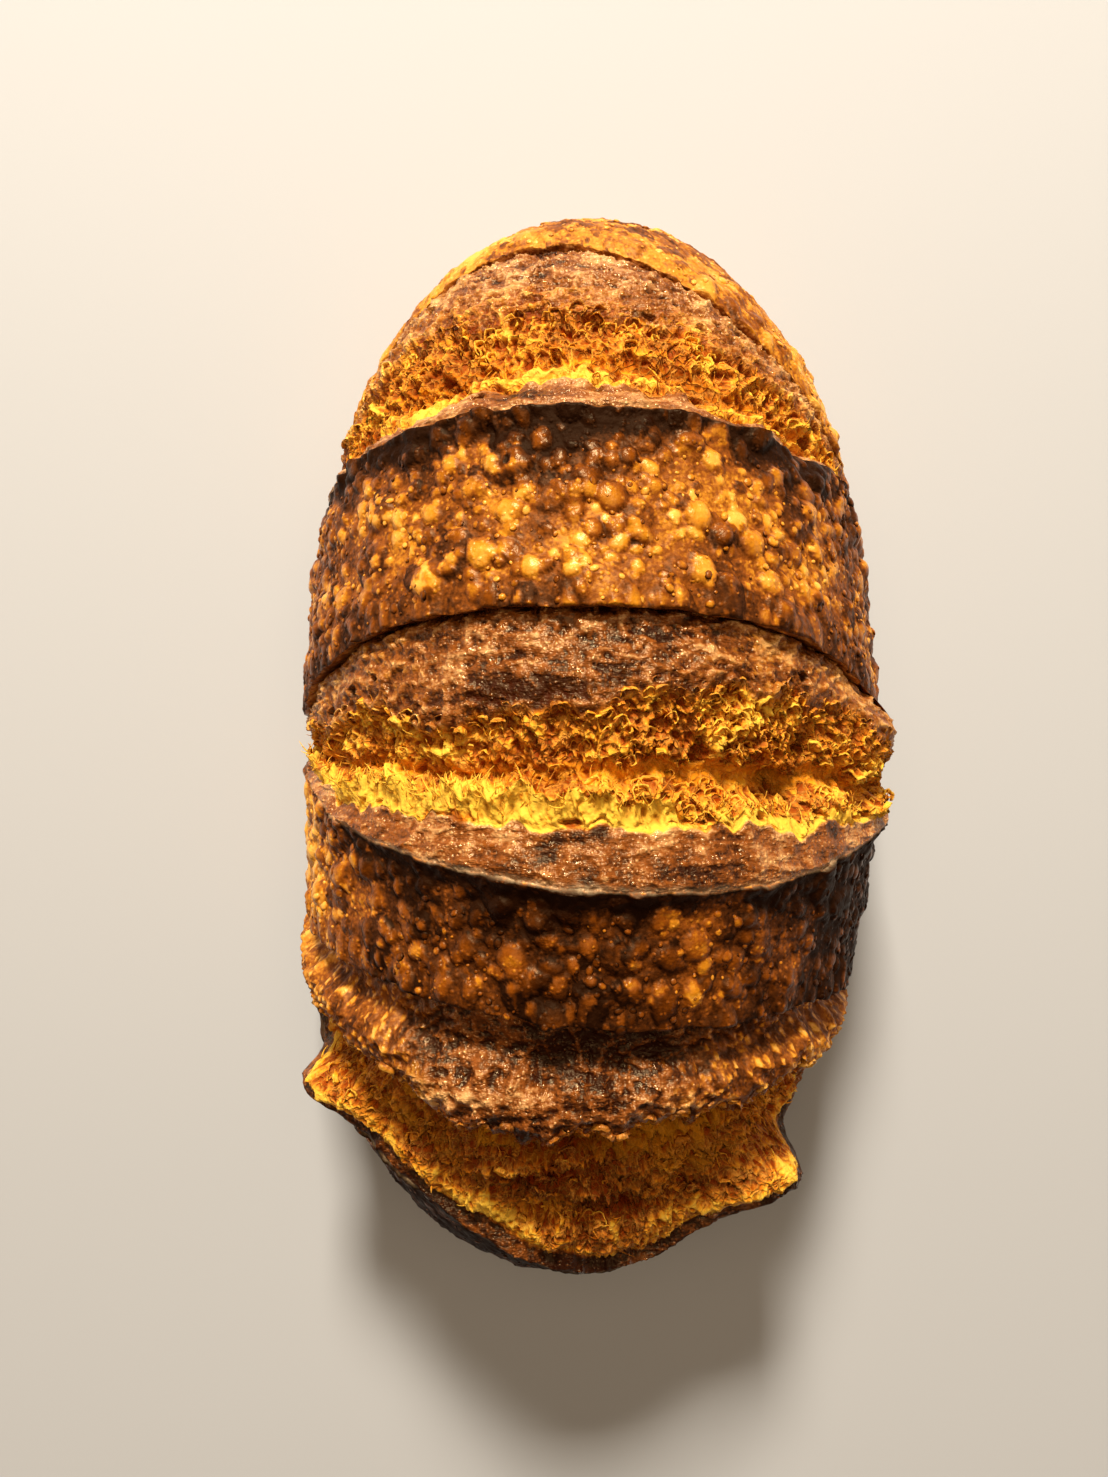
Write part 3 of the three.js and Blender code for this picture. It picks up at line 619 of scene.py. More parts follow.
def skin_relief(strip, point, q):
    """The smooth skin that opened first: leathery, with fine wrinkles across the loaf."""
    o = strip.before.o
    t = strip.t
    warp = 2.5 * noise_at(point, 8, 60) + 0.8 * noise_at(point, 3, 58)
    wrinkle = folded(point, 5.5, 2.2, 61, warp)
    fine_wrinkle = folded(point, 3.1, 1.1, 62, -warp)
    grains, _, _ = blisters(point, 1.7, 0.2, 0.5, 63, 0.75)
    rise = 0.35 * noise_at(point, 7, 64) + 0.25 * noise_at(point, 2.6, 65)
    rise = rise + 1.1 * wrinkle**4 * smooth(noise_at(point, 12, 66) + 0.8) + 0.7 * fine_wrinkle**4
    rise = rise + 0.3 * grains + 0.28 * noise_at(point, 1.1, 67)
    pits = pits_rise(point, o.pits)
    rise = (rise + pits) * (0.3 + 0.7 * strip.before.opened)
    middle = bump((q - 0.02) / 0.4)
    dark_edge = smooth((t - 0.55) / 0.3) * (0.3 + 0.3 * noise_at(point, 8, 67))
    bake = o.edge_bake + (o.skin_bake - o.edge_bake) * middle
    bake = bake + dark_edge * (0.25 + 0.75 * middle) * o.frill_bake
    bake = bake + 0.12 * noise_at(point, 12, 68) + 0.14 * noise_at(point, 4, 69)
    # the last term darkens the first rows under the crust edge: painted shadow of the overhanging
    # crust
    bake = bake - 0.14 * grains - 0.34 * wrinkle**4 + 0.13 + 0.3 * smooth(1 - t / 0.07)
    # painted shade: the skin is darker inside the holes, the deeper the darker
    bake = bake + 0.35 * smooth(-pits / 2) + stained(point, o.stains)[0]
    crusty = o.crusty * smooth((np.abs(q + 0.04) - 0.14) / 0.16)
    # painted shade: the skin is darkened where it lies below its surroundings and inside the holes
    low = smooth(sunken(rise, 3) / 0.5) + smooth(-pits / 1.5)
    looks = looks_of(point, bake=bake, dome=grains, skin=1 - crusty, hollow=clamp(low))
    looks["blisters"] = 0.7 * crusty * strip.before.opened
    looks["torn"] = o.fade * smooth((t - 0.45) / 0.55) * (0.75 + 0.5 * noise_at(point, 5, 89))
    looks["curls"] = 0.8 * o.frill_curls * smooth((t - 0.95) / 0.04) * strip.before.opened
    return rise, looks


CRUMB_CELLS = (5.4, 6.4, 1.5, 73), (2.9, 3.7, 1.1, 80), (1.7, 2.3, 0.7, 87)  # width to seed


def crumb_relief(strip, point, q):
    """Torn crumb: cells of three sizes with thin walls between them, deepest at their far side,
    so that each wall hangs over the deep end of the cell below it."""
    o = strip.before.o
    opened = strip.before.opened
    sine = np.sin(np.pi * clamp(strip.t))
    across = across_at(q)
    coarse = CRUMB_ROUGH * noise(across / CRUMB_WIDE, strip.y / CRUMB_LONG, 5, 3)
    coarse += 0.5 * CRUMB_ROUGH * noise(2 * across / CRUMB_WIDE, 2 * strip.y / CRUMB_LONG, 9, 4)
    warped = point + 1.5 * dents(point, 4.5, (70, 71, 72))
    warped += 0.5 * dents(point, 1.7, (76, 77, 78))
    web_side = smooth((q + 0.12) / 0.3)
    web = mix(o.web_left, o.web_right, web_side)
    deepest = min(level for _, level in o.crumb_left + o.crumb_right)
    deep_share = np.clip(strip.height / deepest / np.maximum(opened, 0.1), 0, 1)
    t = np.clip(strip.t + sine * 0.05 * noise(across / 5, 2, 9, 99), 0, 1)
    lip_at = mix(o.lip_left, o.lip_right, smooth((q - LIP_TURN_AT) / LIP_TURN))
    ragged = 0.035 * noise(across / 1.6, 5, 4, 47) + 0.05 * noise(across / 8, 6, 4, 44)
    on_lip = smooth((crest_shift(o, t, q) + ragged - lip_at) / 0.07)
    valley = smooth((deep_share - 0.55) / 0.3) * smooth(t / 0.15)
    keep = opened * smooth(strip.t / 0.05) * smooth((1 - strip.t) / 0.05)

    rise = opened * sine * coarse * (1 - 0.5 * valley)
    pull, tint, ridge, hollow = (np.zeros_like(rise) for _ in range(4))
    calmed = 1 - mix(0.4, 1, web_side) * o.valley_calm * valley
    for wide, long, depth, seed in CRUMB_CELLS:
        wall, above, own = torn_cells(warped, wide, long, seed)
        strength = o.rough * depth * calmed * (1 - 0.55 * on_lip)
        strength = strength * mix(0.35, 1, np.clip(web, 0, 1.2))
        bowl = 1 - np.exp(-((wall * wide / 0.7) ** 1.5))
        deep = strength * (0.2 + 1.1 * own**1.5) * bowl * (1 + np.clip(above, -0.7, 0.8))
        crest = bump(wall * wide / 0.36)
        rise += keep * (0.4 * strength * crest - deep)
        pull += keep * 0.5 * strength * crest
        hollow += deep / (2.6 * o.rough)
        ridge = np.maximum(ridge, crest * (1 - 0.8 * valley))
        tint += own / 3
    fibres = noise(warped[..., 0] / 1.1, warped[..., 1] / 7, warped[..., 2] / 1.2, 95)
    rise += keep * 0.6 * fibres * (1.3 - 0.8 * clamp(web))
    x, y, z = np.moveaxis(point, -1, 0)
    fluff = noise(x / 1.1, y / 3.2, z / 1.3, 91)
    fluff += 0.6 * noise_at(point, 0.9, 92, 1.8)
    rise += keep * 0.42 * fluff * on_lip
    spikes = (1 - np.abs(noise(x / 1.6, y / 5, z / 1.6, 96))) ** 4
    pull -= keep * 2.2 * spikes * on_lip * smooth((0.85 - t) / 0.1)
    pits = pits_rise(point, o.pits)
    rise += pits * keep

    toast = mix(o.toast, o.lip_toast, on_lip) + 0.22 * smooth(1 - t / 0.1)
    toast = toast + 0.24 * noise_at(point, 8, 97) + 0.16 * noise_at(point, 2.5, 94)
    darker, moister = stained(point, o.stains)
    # crests of the walls are lighter, partly as thin paler crumb and partly as painted highlight
    # where they catch the light
    toast -= 0.2 * ridge
    toast += 0.4 * smooth((t - 0.93) / 0.07) * smooth(0.5 + noise(across / 6, 3, 3, 93))
    toast += darker
    looks = looks_of(point, bake=toast, dome=ridge, tint=tint, torn=1)
    # painted shade: the crumb is darkened where it lies below its surroundings, deep in its cells
    # and inside the holes
    low = smooth(sunken(rise, 3) / 0.7) + 0.5 * hollow + smooth(-pits)
    looks["hollow"] = clamp(low) * (1 - 0.2 * on_lip)
    # moist crumb deep in the tear, partly painted shade where the valley is deepest
    looks["olive"] = clamp(o.olive * valley + moister) * smooth(strip.t / 0.04)
    looks["skin"] = 1 - smooth(strip.t / 0.03)
    edge = o.frill_curls * bump(strip.t / 0.05)
    webbed = clamp(web) * (1 - valley) * (1 - on_lip) * smooth(0.6 + noise_at(point, 6, 90))
    looks["curls"] = opened * clamp(edge + 0.8 * webbed)
    fringe = smooth(1 - np.abs(crest_shift(o, t, q) + ragged - lip_at - 0.02) / 0.06)
    strands = o.lip_strands * (0.5 * on_lip * smooth((0.88 - t) / 0.08) + fringe)
    strands = strands + 0.3 * (1 - clamp(web)) * (1 - valley)
    looks["strands"] = opened * clamp(strands) * smooth((1 - strip.t) / 0.05)
    strip.pull = strip.pull + pull
    return rise, looks


def shelf_relief(strip, point, q):
    """The narrow shelf behind the rim: leathery skin with wrinkles along the rim."""
    o = strip.before.o
    t = strip.t
    wrinkle = folded(point, 7, 2.6, 101, 2 * noise_at(point, 8, 100))
    fine_wrinkle = folded(point, 3, 1.2, 102, noise_at(point, 5, 106))
    grains, _, _ = blisters(point, 1.7, 0.2, 0.5, 63, 0.6)
    rise = 0.7 * wrinkle**3 + 0.35 * fine_wrinkle**3 + 0.4 * noise_at(point, 4, 103) + 0.3 * grains
    pits = pits_rise(point, o.pits)
    rise = (rise + pits) * smooth((1 - t) / 0.15) * strip.before.opened
    bake = o.shelf_bake + 0.28 * noise_at(point, 9, 104) + 0.3 * (0.5 - wrinkle) - 0.1 * grains
    bake += 0.15 * noise_at(point, 3, 107)
    # painted shade: the last term darkens the shelf inside the holes
    bake = bake - 0.35 * smooth(1 - t / 0.12) + 0.4 * smooth(-pits / 1.5)
    bake += stained(point, o.stains)[0]
    looks = looks_of(point, bake=bake, dome=grains, skin=1)
    looks["flour"] = o.rim_flour * smooth((t - 0.86) / 0.1) * (0.6 + 0.5 * noise_at(point, 3, 105))
    return rise, looks


BAND_FORMS = dict(
    # how dark each crust is baked, and how much darker at its left and right sides; far end,
    # far band, near band, near end. Part of the darkness of the near band, most on its right side,
    # and of the near end is painted shade.
    bake=(0.31, 0.55, 0.84, 0.86), left=(-0.04, 0.09, -0.52, 0), right=(-0.04, 0.07, 0.24, 0),
    # charring behind a rim and its width, and ahead of the next opening
    char=(0, 0.64, 0.4, 0.2), char_width=(1, 10.5, 8, 6), edge_char=(0.1, 0.15, 0.05, 0),
    # the largest blisters: q, y and radius; cracks: q, y and half their length
    named_blisters=(
        [],
        [(-0.125, 57.6, 3.8), (0.175, 59.2, 2.6), (-0.241, 34, 4.4), (0.2, 45.3, 3.2),
         (-0.088, 63.2, 2.2), (-0.13, 47, 3), (-0.11, 51.5, 2.6), (-0.2, 43, 2.2)],
        [(-0.281, -45.7, 2.2), (-0.213, -44.9, 2.4), (-0.084, -46.4, 3), (0.15, -49.4, 2.6),
         (0.06, -48, 2.2)],
        [],
    ),
    cracks=([], [(-0.163, 63.5, 3.4), (-0.135, 58, 1.6)], [], []),
)
BANDS = [SimpleNamespace(**dict(zip(BAND_FORMS, own))) for own in zip(*BAND_FORMS.values())]


def relief(strip, point, q, band):
    if strip.kind == "crust":
        return crust_relief(strip, point, q, band)
    if strip.kind == "crumb":
        return crumb_relief(strip, point, q)
    if strip.kind == "shelf":
        return shelf_relief(strip, point, q)
    rise, looks = skin_relief(strip, point, q)
    if strip.kind == "wall":
        rise = rise * smooth(strip.t)
    # past the tips the narrow strips are plain crust
    crust_rise, crust_looks = crust_relief(strip, point, q, BANDS[1])
    opened = strip.before.opened
    for name in LOOKS + GROWTH:
        looks[name] = mix(crust_looks[name], looks[name], opened)
    return mix(crust_rise, rise, opened), looks


# ------------------------------------------------------------------ the whole surface
def columns():
    """Shares q of every column: close together over the crown, wider down the sides and base."""
    fine = np.linspace(-1, 1, 4001)
    spacing = mix(STEP, SIDE_STEP, smooth((np.abs(fine) - 0.4) / 0.4))
    steps = across_at(np.diff(fine)) / ((spacing[1:] + spacing[:-1]) / 2)
    count = np.concatenate([[0], np.cumsum(steps)])
    crown = np.interp(np.linspace(0, count[-1], int(count[-1]) + 1), count, fine)
    half = BASE_COLUMNS // 2
    left = np.linspace(-BASE_Q, -1, half + 1)[:-1]
    right = np.linspace(1, BASE_Q, half + 1)[1:-1]
    return np.concatenate([left, crown, right])


def row_shares(length, step=STEP):
    count = max(2, int(math.ceil(length / step)))
    return np.linspace(0, 1, count + 1)[1:, None]


def strip_length(strip, q):
    path = coarse_point(strip, q)[:, 0]
    return np.linalg.norm(np.diff(path, axis=0), axis=-1).sum()


def all_strips(q):
    """Every strip with its rows spaced by its own length where its opening is widest."""
    trial = np.linspace(0, 1, 60)[:, None]
    strips = []
    before = None
    for index, o in enumerate(OPENINGS):
        middle = np.array([o.gap_at + 0.1])
        after, after_middle = edges_at(index, q), edges_at(index, middle)
        before_middle = edges_at(index - 1, middle) if before else None
        length = strip_length(crust_strip(trial, middle, before_middle, after_middle), middle)
        strips.append(crust_strip(row_shares(length), q, before, after))
        trials = opening_strips(after_middle, middle, lambda kind: trial)
        lengths = {s.kind: strip_length(s, middle) for s in trials}
        strips.extend(opening_strips(after, q, lambda kind: row_shares(lengths[kind])))
        before = after
    middle = np.array([0.0])
    last = edges_at(len(OPENINGS) - 1, middle)
    length = strip_length(crust_strip(trial, middle, last, None), middle)
    strips.append(crust_strip(row_shares(length)[:-1], q, before, None))
    return strips


@functools.lru_cache(maxsize=1)
def loaf_surface():
    """The whole skin of the loaf as rows of points in mm, with its looks and its normals."""
    q = columns()
    points, kinds, looks = [], [], {name: [] for name in LOOKS + GROWTH}
    band = -1
    for strip in all_strips(q):
        if strip.kind == "crust":
            band += 1
        point = plain_point(strip.y, q)
        normal = plain_normal(strip.y, q)
        outward = unit(normal * np.array([1, 0, 1]))
        above_base = smooth(point[..., 2] / 14)
        swell = SWELL * noise_at(point, SWELL_SIZE, 5)
        rise, seen = relief(strip, point, q, BANDS[band])
        low = smooth(point[..., 2] / 3)
        point += normal * ((strip.height + swell) * above_base + rise * low)[..., None]
        point += outward * (strip.flare * above_base)[..., None]
        point[..., 1] -= strip.pull * above_base
        points.append(point)
        kinds += [(band, strip.kind)] * len(point)
        for name in LOOKS + GROWTH:
            looks[name].append(seen[name])
    points = np.concatenate(points)
    far_pole = np.array([0.0, HALF_LENGTH, WIDEST_LEVEL])
    near_pole = np.array([float(bend_at(-HALF_LENGTH)), -HALF_LENGTH, WIDEST_LEVEL])
    low = np.minimum(points.min(axis=(0, 1)), [9e9, -HALF_LENGTH, 9e9])
    high = np.maximum(points.max(axis=(0, 1)), [-9e9, HALF_LENGTH, -9e9])
    fit = (CAD_HIGH - CAD_LOW) / (high - low)
    points, far_pole, near_pole = (CAD_LOW + (p - low) * fit for p in (points, far_pole, near_pole))
    padded = np.concatenate([far_pole + 0 * points[:1], points, near_pole + 0 * points[:1]])
    along = padded[2:] - padded[:-2]
    across = np.roll(points, -1, axis=1) - np.roll(points, 1, axis=1)
    return SimpleNamespace(
        points=points, kinds=kinds, normals=unit(np.cross(along, across)),
        looks={name: np.concatenate(rows) for name, rows in looks.items()},
        far_pole=far_pole, near_pole=near_pole)


# ------------------------------------------------------------------ colours and node helpers
def linear(hex_colour):
    """An sRGB hex colour as linear red, green, blue and alpha."""
    channels = [int(hex_colour[n : n + 2], 16) / 255 for n in (1, 3, 5)]
    return [c / 12.92 if c <= 0.04045 else ((c + 0.055) / 1.055) ** 2.4 for c in channels] + [1]


def add(tree, kind, *values, out="", stops=(), **fields):
    """Adds a node and returns its output of that name, or its first. A first value in words is what
    the node works out, and the others are numbers, colours or other nodes' outputs for its inputs,
    in order. Fields are its settings, or inputs by name with _ for a space."""
    made = tree.nodes.new(kind if "Node" in kind else "ShaderNode" + kind)
    if values and isinstance(values[0], str):
        made.operation, *values = values
    named = []
    for key, value in fields.items():
        if hasattr(made, key):
            setattr(made, key, value)
        else:
            named.append((key.replace("_", " "), value))
    inputs = [entry for entry in made.inputs if entry.enabled]
    given = [(next(entry for entry in inputs if entry.name == key), value) for key, value in named]
    for entry, value in given + list(zip(inputs, values)):
        if isinstance(value, bpy.types.NodeSocket):
            tree.links.new(value, entry)
        else:
            entry.default_value = [*value, 1] if entry.type == "RGBA" else value
    for _ in stops[2:]:
        made.color_ramp.elements.new(1.0)
    for number, (place, colour) in enumerate(stops):
        made.color_ramp.elements[number].position = place
        made.color_ramp.elements[number].color = [*colour, 1]
    return next((exit for exit in made.outputs if exit.enabled and out in ("", exit.name)), None)


def per_metre(size):
    """The scale of a pattern whose features are that size in mm."""
    return 1 / (size * MM)


def varied(node, tone, pattern, amount):
    """A tone made lighter and darker by a pattern from 0 to 1."""
    return node("Math", "MULTIPLY_ADD", node("Math", "SUBTRACT", pattern, 0.5), amount, tone)


def dotted(node, place, size, share, steep):
    """Tiny round blisters that size in mm apart, 0 between them to 1 on top."""
    away = node("TexVoronoi", place, Scale=per_metre(size))
    own = node("SeparateColor", away.node.outputs["Color"])
    rise = node("Math", "SUBTRACT", 1.0, node("Math", "MULTIPLY", away, steep), use_clamp=True)
    return node("Math", "MULTIPLY", rise, node("Math", "LESS_THAN", own, share))


def painted_arch_light_and_shade(node, place, size):
    """Thin walls round cells that size in mm, drawn as arches over each cell's far side (+Y), where
    the light comes from. Returns a painted highlight on the wall's upper half, 1 on its edge, and
    the painted shade under it."""
    swirl = node("TexNoise", place, Scale=0.8 / (size * MM), Detail=1.0, out="Color")
    bent = node("Mix", size * MM, place, swirl, data_type="VECTOR")
    edge = node("TexVoronoi", bent, feature="DISTANCE_TO_EDGE", Scale=per_metre(size))
    middle = node("TexVoronoi", bent, Scale=per_metre(size), out="Position")
    up = node("SeparateXYZ", node("VectorMath", "SUBTRACT", bent, middle), out="Y")
    upper = node("Math", "MULTIPLY_ADD", up, 1.4 / (size * MM), 0.55, use_clamp=True)
    away = node("Math", "MULTIPLY", edge, 3.2 * size)
    wall = node("Math", "SUBTRACT", 1.0, away, use_clamp=True)
    under = node("Math", "MULTIPLY", node("Math", "SUBTRACT", 1.0, wall), upper)
    return node("Math", "MULTIPLY", wall, upper), under


# ------------------------------------------------------------------ sizes and colours to change
def colour_property(name, description, hex_colour):
    return bpy.props.FloatVectorProperty(
        name=name, description=description, subtype="COLOR", size=3, min=0, max=1,
        default=linear(hex_colour)[:3])


def length_property(name, description, millimetres):
    return bpy.props.FloatProperty(
        name=name, description=description, unit="LENGTH", min=0, precision=5,
        default=millimetres * MM)


class LoafCrustSettings(bpy.types.PropertyGroup):
    """The browned crust and the skin in the openings"""

    golden: colour_property("Golden", "Thin blister tops", "#F3B24A")
    amber: colour_property("Amber", "Well-baked crust", "#D0841A")
    brown: colour_property("Brown", "Dark-baked crust", "#8A460A")
    dark: colour_property("Dark", "Crust about to char", "#502403")
    charred: colour_property("Charred", "Charred rims", "#210900")
    skin_pale: colour_property("Pale skin", "Lightest skin in the openings", "#E9B272")
    skin_brown: colour_property("Brown skin", "Skin that opened early", "#8E4C1A")
    skin_dark: colour_property("Dark skin", "Darkest skin", "#2C0A01")
    flour: colour_property("Flour", "Flour left on the rims and the base", "#E0C094")
    blister_spacing: length_property("Blister spacing", "Least distance between blisters", 1.25)
    blister_smallest: length_property("Smallest blister", "Radius of the smallest blister", 0.4)
    blister_largest: length_property("Largest blister", "Radius of the largest small blister", 1.3)
    blister_density: bpy.props.FloatProperty(
        name="Blister density", description="Most small blisters on a square metre", min=0,
        default=260000)


class LoafCrumbSettings(bpy.types.PropertyGroup):
    """The torn crumb in the openings"""

    pale: colour_property("Pale", "Lips of the crumb that stayed pale", "#FFCE44")
    golden: colour_property("Golden", "Crumb that dried a little", "#F5A51E")
    toasted: colour_property("Toasted", "Crumb that browned", "#CC6C0C")
    dark: colour_property("Dark", "Edges of the crumb that baked dark", "#6A2402")
    # also the colour of the painted highlight along the arches of the crumb
    film: colour_property("Film", "Thin walls of the crumb", "#F6B452")
    # moist crumb deep in a tear, partly painted shade in the deep valleys
    olive: colour_property("Moist", "Moist crumb deep in a tear", "#A06808")
    # painted shade: the colour the crumb turns towards in its recesses, standing in for the shade
    # there
    hollow: colour_property("Hollow", "Bottoms of the cells", "#8C3000")
    strand_length: length_property("Strand length", "Length of the longest torn strand", 4.0)
    strand_spacing: length_property("Strand spacing", "Least distance between strands", 0.6)
    curl_size: length_property("Film size", "Radius of the largest curled film", 1.7)
    curl_spacing: length_property("Film spacing", "Least distance between curled films", 1.2)


class LoafStageSettings(bpy.types.PropertyGroup):
    """The floor, the lights and the camera"""

    floor: colour_property("Floor", "Colour of the floor", "#BDBFC4")
    key_power: bpy.props.FloatProperty(
        name="Key light", description="Power of the main light in watts", min=0, default=42)
    fill_power: bpy.props.FloatProperty(
        name="Fill lights", description="Power of each low light in watts", min=0, default=1.6)
    eye_height: length_property("Camera height", "Height of the camera over the floor", 328.4)


# ------------------------------------------------------------------ materials
# The patterns' sizes in mm. Real crumb has threads and grains of 0.2 mm, too fine to show, so the
# finest ones are drawn at 0.5 mm.
CLOUDS = 3.0
GRAINS = 0.9
CRUST_DOTS = 1.2
SUGAR = 0.9
WRINKLES = 1.3
THREADS = 0.5
SMALL_CELLS = 1.7
LARGE_CELLS = 3.4
BUMP_HEIGHT = 0.6


def bread_material(name, opened):
    """Bread crust: starch that gelled and baked hard, so the thin blister tops are golden and glint
    and the hollows between them are dark and matt. In an opening (opened), leathery dried skin with
    a soft sheen and torn crumb that is matt throughout take over by their attributes."""
    crust, soft = bpy.context.scene.loaf_crust, bpy.context.scene.loaf_crumb
    material = bpy.data.materials.new(name)
    material.use_nodes = True
    material.node_tree.nodes.clear()
    node = functools.partial(add, material.node_tree)
    place = node("TexCoord", out="Object")
    bake, dome, tint, flour = (node("Attribute", attribute_name=key, out="Fac")
                               for key in ("bake", "dome", "tint", "flour"))
    coarse = node("TexNoise", place, Scale=per_metre(CLOUDS))
    fine = node("TexNoise", place, Scale=per_metre(GRAINS), Detail=3.0)

    # crust: tops bake golden, the thin skin between them dark; small dots are lighter grains
    dot = dotted(node, place, CRUST_DOTS, 0.5, 2.2)
    even = node("Math", "MULTIPLY_ADD", dome, -0.6, 1.0)
    tone = varied(node, bake, coarse, node("Math", "MULTIPLY", even, 0.5))
    tone = varied(node, tone, fine, node("Math", "MULTIPLY", even, 0.6))
    tone = varied(node, node("Math", "MULTIPLY_ADD", dome, -0.5, tone), tint, 0.42)
    tone = node("Math", "MULTIPLY_ADD", dot, -0.26, tone)
    tone = node("Math", "ADD", tone, 0.2, use_clamp=True)
    colour = node("ValToRGB", tone, stops=[
        (0.02, crust.golden), (0.26, crust.amber), (0.5, crust.brown), (0.74, crust.dark),
        (1.0, crust.charred)])
    shine = node("Math", "MULTIPLY_ADD", dome, -0.34, 0.6)
    shine = node("Math", "MULTIPLY_ADD", node("Math", "GREATER_THAN", tone, 0.8), 0.1, shine)
    glassy = node("Math", "MULTIPLY_ADD", tone, -0.52, 0.67)
    height = node("Math", "MULTIPLY_ADD", dot, 0.35, node("Math", "MULTIPLY", fine, 0.35))

    if opened:
        skin, torn, hollow, olive = (node("Attribute", attribute_name=key, out="Fac")
                                     for key in ("skin", "torn", "hollow", "olive"))
        # skin: dried dough in fine wrinkles, with sugary grains that catch the light as sparkle
        speck = dotted(node, place, SUGAR, 0.55, 1.9)
        drawn = node("Mapping", place, Scale=(0.38, 1, 0.38))
        wrinkle = node("TexNoise", drawn, Scale=per_metre(WRINKLES), Detail=3.0, Roughness=0.62)
        tone = varied(node, varied(node, bake, coarse, 0.3), fine, 0.6)
        # painted shade: the skin is darker where the hollow look is high
        tone = node("Math", "MULTIPLY_ADD", hollow, 0.3, varied(node, tone, wrinkle, 1.2))
        tone = node("Math", "ADD", tone, 0.06)
        tone = node("Math", "MULTIPLY_ADD", speck, -0.42, tone, use_clamp=True)
        brown = node("ValToRGB", tone, stops=[
            (0.0, crust.skin_pale), (0.55, crust.skin_brown), (1.0, crust.skin_dark)])
        colour = node("Mix", skin, colour, brown, data_type="RGBA")
        creased = node("Math", "MULTIPLY", wrinkle, -1.1)
        creased = node("Math", "MULTIPLY_ADD", speck, 0.45, creased)
        height = node("Math", "MULTIPLY_ADD", creased, skin, height)
        sugar = node("Math", "MULTIPLY", speck, skin)
        shine = node("Math", "MULTIPLY_ADD", skin, -0.26, shine)
        shine = node("Math", "MULTIPLY_ADD", sugar, -0.15, shine)
        glassy = node("Math", "MULTIPLY_ADD", skin, 0.26, glassy)
        glassy = node("Math", "MULTIPLY_ADD", sugar, 0.5, glassy)
        # crumb: threads along the tear, and thin walls that arch over small and large cells, with a
        # painted highlight along their upper edges and painted shade under them
        along = node("Mapping", place, Scale=(1, 0.22, 1))
        thread = node("TexNoise", along, Scale=per_metre(THREADS), Detail=3.0, Roughness=0.6)
        small_arch_highlight, small_painted_shade = painted_arch_light_and_shade(node, place, SMALL_CELLS)
        large_arch_highlight, large_painted_shade = painted_arch_light_and_shade(node, place, LARGE_CELLS)
        calm = node("Math", "MULTIPLY_ADD", bake, 1.7, 0.3, use_clamp=True)
        arch = node("Math", "MULTIPLY", node("Math", "MAXIMUM", small_arch_highlight, large_arch_highlight), calm)
        arch = node("Math", "MULTIPLY", arch, node("Math", "MULTIPLY_ADD", olive, -0.5, 1.0))
        # painted shade under the arches, weaker in the moist valley
        shade = node("Math", "MULTIPLY", node("Math", "ADD", small_painted_shade, large_painted_shade),
                     node("Math", "MULTIPLY_ADD", olive, -0.3, 1.0))
        streaks = node("Math", "MULTIPLY_ADD", olive, -0.25, 0.55)
        tone = varied(node, varied(node, bake, thread, streaks), fine, 0.45)
        # crests of the walls and tops of the films and strands are lighter, partly as thin paler
        # crumb and partly as painted highlight
        tone = node("Math", "MULTIPLY_ADD", dome, -0.12, tone)
        deeper = node("Math", "MULTIPLY_ADD", bake, 0.32, 0.14)
        # painted shade: the crumb is darker under the arches
        tone = node("Math", "MULTIPLY_ADD", shade, deeper, tone)
        # painted shade: where the hollow look is high, the crumb is darker and turns towards the
        # hollow colour
        tone = node("Math", "MULTIPLY_ADD", hollow, 0.4, tone)
        tone = node("Math", "SUBTRACT", tone, 0.12, use_clamp=True)
        crumb = node("ValToRGB", tone, stops=[
            (0.02, soft.pale), (0.24, soft.golden), (0.5, soft.toasted), (0.92, soft.dark)])
        # moist crumb, partly painted shade deep in the tear
        moist = node("Mix", thread, soft.olive, soft.golden, data_type="RGBA")
        for share, factor, over in ((olive, 0.7, moist), (hollow, 0.92, soft.hollow)):
            crumb = node("Mix", node("Math", "MULTIPLY", share, factor), crumb, over,
                         data_type="RGBA")
        # pale edges: painted highlight along the arches, and lighter crests and tops
        edge = node("Math", "MULTIPLY", arch, 0.75)
        edge = node("Math", "MULTIPLY_ADD", dome, 0.2, edge, use_clamp=True)
        edge = node("Math", "MULTIPLY", edge, node("Math", "MULTIPLY_ADD", hollow, -0.6, 1.0))
        paler = node("Math", "MULTIPLY_ADD", bake, -0.7, 1.05, use_clamp=True)
        edge = node("Math", "MULTIPLY", edge, paler)
        crumb = node("Mix", edge, crumb, soft.film, data_type="RGBA")
        colour = node("Mix", torn, colour, crumb, data_type="RGBA")
        shine = node("Math", "MULTIPLY_ADD", torn, 0.15, shine)
        matt = node("Math", "MULTIPLY_ADD", torn, -0.8, 1.0)
        glassy = node("Math", "MULTIPLY", glassy, matt)
        rough = node("Math", "MULTIPLY", node("Math", "MULTIPLY", thread, calm), 0.4)
        rough = node("Math", "MULTIPLY_ADD", arch, 0.5, rough)
        rough = node("Math", "MULTIPLY_ADD", node("Math", "MULTIPLY", shade, calm), -0.25, rough)
        height = node("Math", "MULTIPLY_ADD", rough, torn, height)

    # flour: dry, dull dust in the creases of rims and base
    dust = node("Math", "MULTIPLY_ADD", fine, 1.4, -0.2)
    dust = node("Math", "MULTIPLY", flour, dust, use_clamp=True)
    colour = node("Mix", dust, colour, crust.flour, data_type="RGBA")
    shine = node("Math", "MULTIPLY_ADD", dust, 0.3, shine, use_clamp=True)
    bumped = node("Bump", Strength=0.9, Distance=BUMP_HEIGHT * MM, Height=height)
